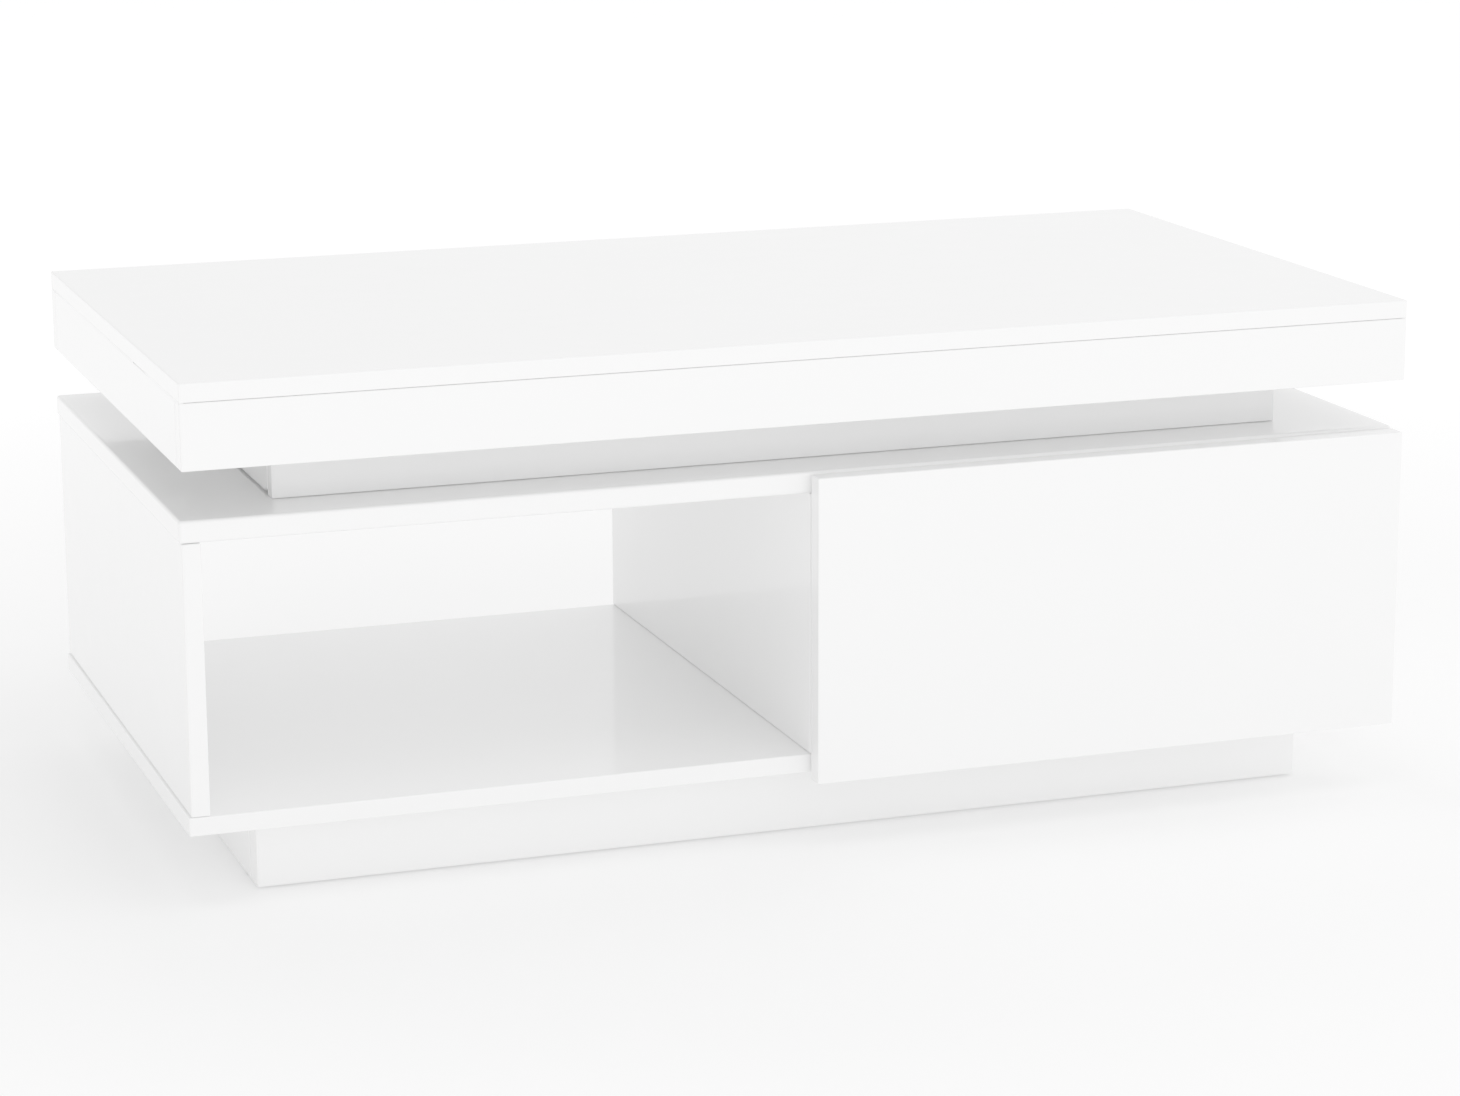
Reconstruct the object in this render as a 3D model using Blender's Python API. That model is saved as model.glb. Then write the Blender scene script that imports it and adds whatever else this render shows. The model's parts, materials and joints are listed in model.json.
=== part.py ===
"""Lift top coffee table.

A white gloss lacquered table with an open shelf bay, one wide drawer and a thick top that
rises and comes forward on two parallelogram arms, over a storage compartment.

Metres. +Z up, the front faces -Y, +X is the table's right. The origin is on the floor,
under the middle of the table.
"""

import math

import bmesh
import bpy
from mathutils import Matrix, Vector

# Driving dimensions: the whole table
WIDTH = 1.100
DEPTH = 0.580
HEIGHT = 0.450
BOARD = 0.016  # thickness of most boards
GAP = 0.0003  # gap between pieces that touch
EDGE_ROUND = 0.0010  # eased edge of a lacquered board
LINER_EDGE_ROUND = 0.0006  # eased edge of a drawer board
GUIDE_MARGIN = 0.010  # how far a cutting guide stands out of its piece
MERGE_DISTANCE = 0.00001
EMPTY_SIZE = 0.030

# Driving dimensions: the levels, from the floor up
GLIDE_HEIGHT = 0.002
PLINTH_TOP = 0.067
DECK_BOTTOM = 0.314
DECK_THICKNESS = 0.019
DECK_EDGE_ROUND = 0.0030
APRON_BOTTOM = 0.378

# Driving dimensions: the carcass
CARCASS_SETBACK = 0.020  # carcass front behind the top's front
SIDE_INSET = 0.002  # side panels inside the ends of the deck and bottom boards
DIVIDER_LEFT = -0.006

# Driving dimensions: the plinth
PLINTH_WIDTH = 0.970
PLINTH_SETBACK = 0.045  # behind the carcass front, and ahead of its back
PLINTH_FRONT_THICKNESS = 0.028
GLIDE_RADIUS = 0.007
GLIDE_EDGE = 0.0006
GLIDE_FROM_RAIL = 0.018

# Driving dimensions: the storage compartment under the top
COMPARTMENT_WIDTH = 0.920
COMPARTMENT_SETBACK = 0.075  # behind the top's front, and ahead of its back
COMPARTMENT_TOP = 0.431
SIDE_WALL_LIFT = 0.002  # the side walls hang clear of the deck
NOTCH_LENGTH = 0.010
NOTCH_HEIGHT = 0.003
BUMPER_RADIUS = 0.005
BUMPER_DOME_HEIGHT = 0.0008
BUMPER_DOME_INSET = 0.0010
BUMPER_FROM_END = 0.025

# Driving dimensions: the drawer
DRAWER_FRONT_THICKNESS = 0.018
DRAWER_FRONT_BOTTOM = 0.061
DRAWER_FRONT_TOP = 0.331
DRAWER_SIDE = 0.012
DRAWER_SIDE_BOTTOM = 0.100
DRAWER_SIDE_HEIGHT = 0.150
DRAWER_DEPTH = 0.500
DRAWER_BOTTOM_THICKNESS = 0.004
GROOVE_HEIGHT = 0.012  # groove's lower edge above the side's lower edge
GROOVE_DEPTH = 0.006

# Driving dimensions: the drawer slides
SLIDE_SPACE = 0.013  # between carcass panel and drawer side
SLIDE_LENGTH = 0.450
SLIDE_HEIGHT = 0.045
SLIDE_STEEL = 0.0012
SLIDE_SETBACK = 0.002  # behind the carcass front
SLIDE_WEB_PROUD = 0.0001  # the outer web's ends past the flanges' outer faces
SLIDE_CABINET_DEPTH = 0.0092  # the outer member's flanges, from the carcass panel
SLIDE_MIDDLE_WEB = 0.0052  # the middle member's web, from the carcass panel
SLIDE_MIDDLE_FLANGE = (0.0027, 0.0100)  # its flanges, from the carcass panel
SLIDE_MIDDLE_INSET = 0.0042  # its half height below the outer member's
SLIDE_FLANGE_DEPTH = 0.0024  # how thick its rolled flanges stand
SLIDE_MIDDLE_SHORTER = 0.006
SLIDE_INNER_DEPTH = 0.0076  # the inner member's flanges, from the carcass panel
SLIDE_INNER_WEB_INSET = 0.0055  # the inner member's web end below the outer member's
SLIDE_INNER_FLANGE_INSET = 0.0092

# Driving dimensions: the lift mechanism
ARM_LENGTH = 0.200  # between pivots
ARM_THICKNESS = 0.004
MAIN_ARM_RADIUS = 0.0115
FOLLOWER_ARM_RADIUS = 0.010
ARM_EDGE_ROUND = 0.0005
PLATE_THICKNESS = 0.003
BASE_PLATE_FRONT = 0.020  # base plate ahead of the follower pivot
BASE_PLATE_REAR = 0.032  # base plate behind the main pivot
BASE_PLATE_ABOVE = 0.016  # base plate above the follower pivot
BASE_PLATE_BELOW = 0.0035  # base plate below the main arm
BASE_PLATE_ROUND = 0.008
LIP_BELOW_ARM = 0.0005
LIP_OVERLAP = 0.0010  # how deep the lip starts inside the plate
TOP_PLATE_REACH = 0.016  # top plate ahead of and behind its pivots
TOP_PLATE_BELOW = 0.014
TOP_PLATE_ROUND = 0.010
TOP_FLANGE_WIDTH = 0.036
TOP_FLANGE_AHEAD = 0.230  # flange ahead of the main top pivot
MAIN_PIVOT_Y = -0.030
MAIN_PIVOT_Z = 0.362
FOLLOWER_OFFSET_Y = -0.042
FOLLOWER_OFFSET_Z = 0.026
PIN_RADIUS = 0.004
PIN_CLEARANCE = 0.0003
PIN_HEAD_RADIUS = 0.0075
PIN_HEAD_EDGE = 0.0010  # chamfer round a head
PIN_HEAD_THICKNESS = 0.0023
PIN_SHOULDER_GAP = 0.0002
PIN_PAST_SPRING = 0.004
FOLLOWER_PIN_REACH = 0.0035  # past the layer where the spring starts
TUBE_RADIUS = 0.008
TUBE_WALL = 0.0015
TUBE_FROM_PIVOT = 0.066
SPRING_RADIUS = 0.0070  # of the wire's centre line
SPRING_WIRE_RADIUS = 0.00175
SPRING_TURNS = 4
SPRING_LEG_END = 0.007  # leg past the bar that it bears on
SPRING_LENGTH = 0.018  # along the pin

# Driving dimensions: the air between the layers of the mechanism
PLATE_TO_ARM = 0.0010
ARM_TO_TOP_PLATE = 0.0012
ARM_TO_SPRING = 0.0027

# Layers of the mechanism, measured inward from a compartment side wall's inner face
PLATE_AT = GAP
ARM_AT = PLATE_AT + PLATE_THICKNESS + PLATE_TO_ARM
TOP_PLATE_AT = ARM_AT + ARM_THICKNESS + ARM_TO_TOP_PLATE
TOP_FLANGE_END = TOP_PLATE_AT + TOP_FLANGE_WIDTH
SPRING_START = ARM_AT + ARM_THICKNESS + ARM_TO_SPRING
SPRING_END = SPRING_START + SPRING_LENGTH

# Worked-out planes
FRONT = -DEPTH / 2
BACK = DEPTH / 2
END = WIDTH / 2
CARCASS_FRONT = FRONT + CARCASS_SETBACK
TOP_BOARD_BOTTOM = HEIGHT - BOARD
BOTTOM_BOARD_TOP = PLINTH_TOP + BOARD
DECK_TOP = DECK_BOTTOM + DECK_THICKNESS
SIDE_OUTER = END - SIDE_INSET
SIDE_INNER = SIDE_OUTER - BOARD
DIVIDER_RIGHT = DIVIDER_LEFT + BOARD
WALL_OUTER = COMPARTMENT_WIDTH / 2
WALL_INNER = WALL_OUTER - BOARD
WALL_FRONT = FRONT + COMPARTMENT_SETBACK
WALL_BACK = BACK - COMPARTMENT_SETBACK
DRAWER_BOX_LEFT = DIVIDER_RIGHT + SLIDE_SPACE
DRAWER_BOX_RIGHT = SIDE_INNER - SLIDE_SPACE
DRAWER_BOX_FRONT = FRONT + DRAWER_FRONT_THICKNESS + GAP
DRAWER_BOX_BACK = DRAWER_BOX_FRONT + DRAWER_DEPTH
GROOVE_BOTTOM = DRAWER_SIDE_BOTTOM + GROOVE_HEIGHT
DRAWER_BOTTOM_TOP = GROOVE_BOTTOM + GAP + DRAWER_BOTTOM_THICKNESS
SLIDE_CENTRE_Z = DRAWER_SIDE_BOTTOM + DRAWER_SIDE_HEIGHT / 2
SLIDE_FRONT = CARCASS_FRONT + SLIDE_SETBACK
SLIDE_MIDDLE_Y = SLIDE_FRONT + SLIDE_LENGTH / 2
TOP_PIVOT_Y = MAIN_PIVOT_Y + ARM_LENGTH

SIDES = (("left", -1), ("right", 1))


def clear_scene():
    for old in list(bpy.data.objects):
        bpy.data.objects.remove(old, do_unlink=True)


def make_material(name, colour, roughness, metallic=0.0, coat=0.0):
    material = bpy.data.materials.new(name)
    material.use_nodes = True
    shader = material.node_tree.nodes["Principled BSDF"]
    shader.inputs["Base Color"].default_value = (*colour, 1.0)
    shader.inputs["Roughness"].default_value = roughness
    shader.inputs["Metallic"].default_value = metallic
    shader.inputs["Coat Weight"].default_value = coat
    material.diffuse_color = (*colour, 1.0)
    return material


def make_empty(name, location):
    empty = bpy.data.objects.new(name, None)
    empty.empty_display_size = EMPTY_SIZE
    bpy.context.collection.objects.link(empty)
    empty.location = location
    return empty


def add_object(name, mesh, location, material=None, parent=None):
    """A new object at a world location, under a parent that isn't rotated."""
    piece = bpy.data.objects.new(name, mesh)
    bpy.context.collection.objects.link(piece)
    if material:
        # Every sub-part has its own copy of its finish.
        own = material.copy()
        own.name = f"{name}_{material.name}"
        mesh.materials.append(own)
    piece.location = location
    if parent:
        piece.parent = parent
        piece.location = Vector(location) - parent.location
    return piece


def mesh_from(bm, name):
    bmesh.ops.recalc_face_normals(bm, faces=bm.faces)
    mesh = bpy.data.meshes.new(name)
    bm.to_mesh(mesh)
    bm.free()
    return mesh


def block_mesh(name, size):
    bm = bmesh.new()
    bmesh.ops.create_cube(bm, size=1.0)
    bmesh.ops.scale(bm, vec=size, verts=bm.verts)
    return mesh_from(bm, name)


def ease_edges(piece, width, segments=2):
    bevel = piece.modifiers.new("eased_edges", "BEVEL")
    bevel.width = width
    bevel.segments = segments
    bevel.limit_method = "ANGLE"
    bevel.angle_limit = math.radians(40)
    bevel.use_clamp_overlap = True


def board(name, low, high, material, parent=None, edge=EDGE_ROUND, segments=2):
    """A board between two world corners, with eased edges."""
    low, high = Vector(low), Vector(high)
    piece = add_object(name, block_mesh(name, high - low), (low + high) / 2, material, parent)
    if edge:
        ease_edges(piece, edge, segments)
    return piece


def cut(piece, cutter):
    """Cuts a hidden guide solid out of a piece."""
    cutter.hide_render = True
    cutter.display_type = "WIRE"
    boolean = piece.modifiers.new("cut", "BOOLEAN")
    boolean.operation = "DIFFERENCE"
    boolean.solver = "EXACT"
    boolean.object = cutter


def join(piece, other):
    """Grows a piece by a hidden guide solid that overlaps it."""
    other.hide_render = True
    other.display_type = "WIRE"
    boolean = piece.modifiers.new("join", "BOOLEAN")
    boolean.operation = "UNION"
    boolean.solver = "EXACT"
    boolean.object = other


def box_guide(name, low, high, parent=None):
    low, high = Vector(low), Vector(high)
    return add_object(name, block_mesh(name, high - low), (low + high) / 2, None, parent)


def prism_mesh(name, outline, depth, axis):
    """An outline swept by depth, centred on its start plane.

    axis "X" reads the outline as (y, z) points, axis "Y" as (x, z) points.
    """
    bm = bmesh.new()
    half = depth / 2
    if axis == "X":
        start = [bm.verts.new((-half, a, b)) for a, b in outline]
        sweep = Vector((depth, 0, 0))
    else:
        start = [bm.verts.new((a, -half, b)) for a, b in outline]
        sweep = Vector((0, depth, 0))
    face = bm.faces.new(start)
    grown = bmesh.ops.extrude_face_region(bm, geom=[face])
    moved = [item for item in grown["geom"] if isinstance(item, bmesh.types.BMVert)]
    bmesh.ops.translate(bm, verts=moved, vec=sweep)
    return mesh_from(bm, name)


def arc(centre, radius, start, end, steps):
    """Points along an arc, angles in degrees."""
    points = []
    for step in range(steps + 1):
        angle = math.radians(start + (end - start) * step / steps)
        points.append((centre[0] + radius * math.cos(angle), centre[1] + radius * math.sin(angle)))
    return points


def link_outline(length, radius, steps=10):
    """A bar with round ends, from the origin along +Y."""
    return arc((length, 0), radius, -90, 90, steps) + arc((0, 0), radius, 90, 270, steps)


def rounded_outline(low, high, radius, steps=4):
    """A rectangle with round corners."""
    points = arc((high[0] - radius, high[1] - radius), radius, 0, 90, steps)
    points += arc((low[0] + radius, high[1] - radius), radius, 90, 180, steps)
    points += arc((low[0] + radius, low[1] + radius), radius, 180, 270, steps)
    points += arc((high[0] - radius, low[1] + radius), radius, 270, 360, steps)
    return points


def turned_mesh(name, profile, segments=16):
    """A solid turned about the X axis from (x, radius) points, closed by flat ends."""
    bm = bmesh.new()
    rings = []
    for x, radius in profile:
        ring = []
        for step in range(segments):
            angle = 2 * math.pi * step / segments
            ring.append(bm.verts.new((x, radius * math.cos(angle), radius * math.sin(angle))))
        rings.append(ring)
    for first, second in zip(rings, rings[1:]):
        for step in range(segments):
            after = (step + 1) % segments
            bm.faces.new((first[step], first[after], second[after], second[step]))
    bm.faces.new(rings[0])
    bm.faces.new(rings[-1])
    return mesh_from(bm, name)


def shade_round(mesh):
    mesh.shade_smooth()
    mesh.set_sharp_from_angle(angle=math.radians(35))


def bore_guide(name, x, y, z, radius, parent=None):
    """A guide cylinder along X, long enough to pass through any plate of the mechanism."""
    mesh = turned_mesh(name, [(-GUIDE_MARGIN, radius), (GUIDE_MARGIN, radius)])
    return add_object(name, mesh, (x, y, z), None, parent)


# Plinth and carcass


def make_plinth(white):
    half = PLINTH_WIDTH / 2
    front = CARCASS_FRONT + PLINTH_SETBACK
    back = BACK - PLINTH_SETBACK
    low = GLIDE_HEIGHT
    top = PLINTH_TOP - GAP
    front_inner = front + PLINTH_FRONT_THICKNESS
    back_inner = back - PLINTH_FRONT_THICKNESS
    board("plinth_front_rail", (-half, front, low), (half, front_inner, top), white)
    board("plinth_rear_rail", (-half, back_inner, low), (half, back, top), white)
    side_front = front_inner + GAP
    side_back = back_inner - GAP
    for name, centre in (
        ("plinth_left_rail", -half + BOARD / 2),
        ("plinth_centre_rail", 0.0),
        ("plinth_right_rail", half - BOARD / 2),
    ):
        low_corner = (centre - BOARD / 2, side_front, low)
        high_corner = (centre + BOARD / 2, side_back, top)
        board(name, low_corner, high_corner, white)
    return side_front, side_back


def make_glides(grey, side_front, side_back):
    columns = (
        ("left", -PLINTH_WIDTH / 2 + BOARD / 2),
        ("centre", 0.0),
        ("right", PLINTH_WIDTH / 2 - BOARD / 2),
    )
    rows = (("front", side_front + GLIDE_FROM_RAIL), ("rear", side_back - GLIDE_FROM_RAIL))
    height = GLIDE_HEIGHT - GAP
    profile = [
        (0.0, GLIDE_RADIUS - GLIDE_EDGE),
        (GLIDE_EDGE, GLIDE_RADIUS),
        (height, GLIDE_RADIUS),
    ]
    for row, y in rows:
        for column, x in columns:
            name = f"floor_glide_{row}_{column}"
            mesh = turned_mesh(name, profile)
            # The turning axis stands up.
            mesh.transform(Matrix.Rotation(math.radians(-90), 4, "Y"))
            shade_round(mesh)
            add_object(name, mesh, (x, y, 0.0), grey)


def make_carcass(white):
    board(
        "bottom_board",
        (-END, CARCASS_FRONT, PLINTH_TOP),
        (END, BACK, BOTTOM_BOARD_TOP),
        white,
    )
    low = BOTTOM_BOARD_TOP + GAP
    top = DECK_BOTTOM - GAP
    for side, sign in SIDES:
        xs = sorted((sign * SIDE_INNER, sign * SIDE_OUTER))
        board(f"{side}_side_panel", (xs[0], CARCASS_FRONT, low), (xs[1], BACK, top), white)
    board(
        "divider_panel",
        (DIVIDER_LEFT, CARCASS_FRONT, low),
        (DIVIDER_RIGHT, BACK, top),
        white,
    )
    board(
        "drawer_bay_back_panel",
        (DIVIDER_RIGHT + GAP, BACK - BOARD, low),
        (SIDE_INNER - GAP, BACK, top),
        white,
    )
    board(
        "deck_board",
        (-END, CARCASS_FRONT, DECK_BOTTOM),
        (END, BACK, DECK_TOP),
        white,
        edge=DECK_EDGE_ROUND,
        segments=4,
    )


# Storage compartment


def make_compartment(white):
    floor = DECK_TOP + GAP
    board(
        "compartment_front_wall",
        (-WALL_OUTER, WALL_FRONT, floor),
        (WALL_OUTER, WALL_FRONT + BOARD, COMPARTMENT_TOP),
        white,
    )
    board(
        "compartment_rear_wall",
        (-WALL_OUTER, WALL_BACK - BOARD, floor),
        (WALL_OUTER, WALL_BACK, COMPARTMENT_TOP),
        white,
    )
    front = WALL_FRONT + BOARD + GAP
    back = WALL_BACK - BOARD - GAP
    for side, sign in SIDES:
        xs = sorted((sign * WALL_INNER, sign * WALL_OUTER))
        low = DECK_TOP + SIDE_WALL_LIFT
        wall = board(
            f"compartment_{side}_wall",
            (xs[0], front, low),
            (xs[1], back, COMPARTMENT_TOP),
            white,
        )
        notch = box_guide(
            f"{side}_notch_guide",
            (xs[0] - GUIDE_MARGIN, front - GUIDE_MARGIN, low - GUIDE_MARGIN),
            (xs[1] + GUIDE_MARGIN, front + NOTCH_LENGTH, low + NOTCH_HEIGHT),
        )
        cut(wall, notch)


def make_bumpers(rubber):
    height = TOP_BOARD_BOTTOM - COMPARTMENT_TOP - 2 * GAP
    profile = [
        (0.0, BUMPER_RADIUS),
        (height - BUMPER_DOME_HEIGHT, BUMPER_RADIUS),
        (height, BUMPER_RADIUS - BUMPER_DOME_INSET),
    ]
    ends = (
        ("front", WALL_FRONT + BOARD + BUMPER_FROM_END),
        ("rear", WALL_BACK - BOARD - BUMPER_FROM_END),
    )
    for end, y in ends:
        for side, sign in SIDES:
            name = f"top_bumper_{end}_{side}"
            mesh = turned_mesh(name, profile)
            mesh.transform(Matrix.Rotation(math.radians(-90), 4, "Y"))
            shade_round(mesh)
            x = sign * (WALL_INNER + BOARD / 2)
            add_object(name, mesh, (x, y, COMPARTMENT_TOP + GAP), rubber)


# Lift mechanism


def layer(sign, start, thickness):
    """World X of the middle of a layer that lies inward of a compartment side wall."""
    return sign * (WALL_INNER - start - thickness / 2)


def make_base_bracket(side, sign, steel):
    """A plate on the side wall, with a lip that the main arm comes down to."""
    name = f"{side}_base_bracket"
    x = layer(sign, PLATE_AT, PLATE_THICKNESS)
    low = (FOLLOWER_OFFSET_Y - BASE_PLATE_FRONT, -MAIN_ARM_RADIUS - BASE_PLATE_BELOW)
    high = (BASE_PLATE_REAR, FOLLOWER_OFFSET_Z + BASE_PLATE_ABOVE)
    outline = rounded_outline(low, high, BASE_PLATE_ROUND)
    mesh = prism_mesh(name, outline, PLATE_THICKNESS, "X")
    pivot = (x, MAIN_PIVOT_Y, MAIN_PIVOT_Z)
    bracket = add_object(name, mesh, pivot, steel)
    lip_top = MAIN_PIVOT_Z - MAIN_ARM_RADIUS - LIP_BELOW_ARM
    lip_start = WALL_INNER - PLATE_AT - LIP_OVERLAP
    lip_end = WALL_INNER - ARM_AT - ARM_THICKNESS
    lip_x = sorted((sign * lip_start, sign * lip_end))
    lip = box_guide(
        f"{side}_lip_guide",
        (lip_x[0], MAIN_PIVOT_Y + low[0] + BASE_PLATE_ROUND, lip_top - PLATE_THICKNESS),
        (lip_x[1], MAIN_PIVOT_Y + high[0] - BASE_PLATE_ROUND, lip_top),
    )
    join(bracket, lip)
    for label, dy, dz in (("main", 0, 0), ("follower", FOLLOWER_OFFSET_Y, FOLLOWER_OFFSET_Z)):
        bore = bore_guide(
            f"{side}_base_{label}_bore",
            x,
            MAIN_PIVOT_Y + dy,
            MAIN_PIVOT_Z + dz,
            PIN_RADIUS + PIN_CLEARANCE,
        )
        cut(bracket, bore)


def make_pin(name, sign, profile, y, z, steel, parent=None):
    """A turned pin. Its profile is in distance inward from the side wall."""
    points = [(-distance * sign, radius) for distance, radius in profile]
    mesh = turned_mesh(name, points)
    shade_round(mesh)
    add_object(name, mesh, (sign * WALL_INNER, y, z), steel, parent)


def base_pin_profile(shaft_end):
    """A shaft held in the base plate, a shoulder between plate and arm, and a head."""
    shoulder_start = PLATE_AT + PLATE_THICKNESS + PIN_SHOULDER_GAP
    shoulder_end = ARM_AT - PIN_SHOULDER_GAP
    return [
        (PLATE_AT + GAP, PIN_RADIUS),
        (shoulder_start, PIN_RADIUS),
        (shoulder_start, PIN_HEAD_RADIUS),
        (shoulder_end, PIN_HEAD_RADIUS),
        (shoulder_end, PIN_RADIUS),
        (shaft_end, PIN_RADIUS),
        (shaft_end, PIN_HEAD_RADIUS),
        (shaft_end + PIN_HEAD_THICKNESS - PIN_HEAD_EDGE, PIN_HEAD_RADIUS),
        (shaft_end + PIN_HEAD_THICKNESS, PIN_HEAD_RADIUS - PIN_HEAD_EDGE),
    ]


def top_pin_profile():
    """An outer head, the arm's bearing, a shoulder, and a head inside the top bracket."""
    arm_end = ARM_AT + ARM_THICKNESS
    plate_end = TOP_PLATE_AT + PLATE_THICKNESS
    return [
        (ARM_AT - GAP - PIN_HEAD_THICKNESS, PIN_HEAD_RADIUS - PIN_HEAD_EDGE),
        (ARM_AT - GAP - PIN_HEAD_THICKNESS + PIN_HEAD_EDGE, PIN_HEAD_RADIUS),
        (ARM_AT - GAP, PIN_HEAD_RADIUS),
        (ARM_AT - GAP, PIN_RADIUS),
        (arm_end + GAP, PIN_RADIUS),
        (arm_end + GAP, PIN_HEAD_RADIUS),
        (TOP_PLATE_AT - GAP, PIN_HEAD_RADIUS),
        (TOP_PLATE_AT - GAP, PIN_RADIUS),
        (plate_end + GAP, PIN_RADIUS),
        (plate_end + GAP, PIN_HEAD_RADIUS),
        (plate_end + GAP + PIN_HEAD_THICKNESS - PIN_HEAD_EDGE, PIN_HEAD_RADIUS),
        (plate_end + GAP + PIN_HEAD_THICKNESS, PIN_HEAD_RADIUS - PIN_HEAD_EDGE),
    ]


def make_arm(name, sign, radius, y, z, steel, parent):
    """A flat bar with a bore at each end, its near pivot on the parent's axis."""
    x = layer(sign, ARM_AT, ARM_THICKNESS)
    mesh = prism_mesh(name, link_outline(ARM_LENGTH, radius), ARM_THICKNESS, "X")
    arm = add_object(name, mesh, (x, y, z), steel, parent)
    ease_edges(arm, ARM_EDGE_ROUND, 1)
    for label, dy in (("near", 0.0), ("far", ARM_LENGTH)):
        bore = bore_guide(f"{name}_{label}_bore", x, y + dy, z, PIN_RADIUS + PIN_CLEARANCE, parent)
        cut(arm, bore)


def make_cross_tube(steel, parent):
    """A tube from arm to arm, which makes both sides rise together."""
    half = WALL_INNER - ARM_AT - ARM_THICKNESS - GAP
    inner = TUBE_RADIUS - TUBE_WALL
    bm = bmesh.new()
    corners = ((-half, inner), (half, inner), (half, TUBE_RADIUS), (-half, TUBE_RADIUS))
    points = [bm.verts.new((x, radius, 0.0)) for x, radius in corners]
    edges = [bm.edges.new((points[i], points[(i + 1) % 4])) for i in range(4)]
    bmesh.ops.spin(
        bm,
        geom=points + edges,
        cent=(0, 0, 0),
        axis=(1, 0, 0),
        angle=2 * math.pi,
        steps=24,
        use_merge=True,
    )
    bmesh.ops.remove_doubles(bm, verts=bm.verts, dist=MERGE_DISTANCE)
    mesh = mesh_from(bm, "cross_tube")
    shade_round(mesh)
    location = (0, MAIN_PIVOT_Y + TUBE_FROM_PIVOT, MAIN_PIVOT_Z)
    add_object("cross_tube", mesh, location, steel, parent)


def spring_leg(centre, radius, side):
    """A straight leg that leaves the spring's circle and passes under a round bar.

    Returns the angle where it leaves the coil, in radians, and the leg's free end.
    """
    bearing = math.atan2(centre[1], centre[0])
    angle = bearing + side * math.acos((SPRING_RADIUS + radius) / math.hypot(*centre))
    across = (math.cos(angle), math.sin(angle))
    leaving = (SPRING_RADIUS * across[0], SPRING_RADIUS * across[1])
    touching = (centre[0] - radius * across[0], centre[1] - radius * across[1])
    run = math.hypot(touching[0] - leaving[0], touching[1] - leaving[1])
    share = 1 + SPRING_LEG_END / run
    free_end = [start + (stop - start) * share for start, stop in zip(leaving, touching)]
    return angle, free_end


def make_spring(side, sign, wire_steel):
    """A torsion spring round the main pin.

    One leg bears up on the follower pin and the other up on the cross tube, so the coil
    winds up as the top comes down.
    """
    wire = SPRING_WIRE_RADIUS + GAP
    follower_pin = (FOLLOWER_OFFSET_Y, FOLLOWER_OFFSET_Z)
    start, held_end = spring_leg(follower_pin, PIN_RADIUS + wire, -1)
    end, pushing_end = spring_leg((TUBE_FROM_PIVOT, 0.0), TUBE_RADIUS + wire, 1)
    end -= 2 * math.pi * SPRING_TURNS
    steps = 12 * SPRING_TURNS
    points = [(SPRING_START, *held_end)]
    for step in range(steps + 1):
        share = step / steps
        angle = start + (end - start) * share
        across = SPRING_START + (SPRING_END - SPRING_START) * share
        points.append((across, SPRING_RADIUS * math.cos(angle), SPRING_RADIUS * math.sin(angle)))
    points.append((SPRING_END, *pushing_end))

    name = f"{side}_lift_spring"
    curve = bpy.data.curves.new(name, "CURVE")
    curve.dimensions = "3D"
    curve.bevel_depth = SPRING_WIRE_RADIUS
    curve.bevel_resolution = 1
    curve.use_fill_caps = True
    spline = curve.splines.new("POLY")
    spline.points.add(len(points) - 1)
    for point, (across, y, z) in zip(spline.points, points):
        point.co = (-across * sign, y, z, 1.0)
    add_object(name, curve, (sign * WALL_INNER, MAIN_PIVOT_Y, MAIN_PIVOT_Z), wire_steel)


def make_top_bracket(side, sign, steel, parent):
    """A plate that hangs from the top board on a long flange."""
    name = f"{side}_top_bracket"
    x = layer(sign, TOP_PLATE_AT, PLATE_THICKNESS)
    flange_top = TOP_BOARD_BOTTOM - GAP
    low = (FOLLOWER_OFFSET_Y - TOP_PLATE_REACH, -TOP_PLATE_BELOW)
    high = (TOP_PLATE_REACH, flange_top - MAIN_PIVOT_Z)
    outline = rounded_outline(low, high, TOP_PLATE_ROUND)
    mesh = prism_mesh(name, outline, PLATE_THICKNESS, "X")
    bracket = add_object(name, mesh, (x, TOP_PIVOT_Y, MAIN_PIVOT_Z), steel, parent)
    flange_start = WALL_INNER - TOP_PLATE_AT
    flange_end = WALL_INNER - TOP_FLANGE_END
    flange_x = sorted((sign * flange_start, sign * flange_end))
    flange = box_guide(
        f"{side}_flange_guide",
        (flange_x[0], TOP_PIVOT_Y - TOP_FLANGE_AHEAD, flange_top - PLATE_THICKNESS),
        (flange_x[1], TOP_PIVOT_Y + high[0], flange_top),
        parent,
    )
    join(bracket, flange)
    for label, dy, dz in (("main", 0, 0), ("follower", FOLLOWER_OFFSET_Y, FOLLOWER_OFFSET_Z)):
        bore = bore_guide(
            f"{side}_top_{label}_bore",
            x,
            TOP_PIVOT_Y + dy,
            MAIN_PIVOT_Z + dz,
            PIN_RADIUS + PIN_CLEARANCE,
            parent,
        )
        cut(bracket, bore)


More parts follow.
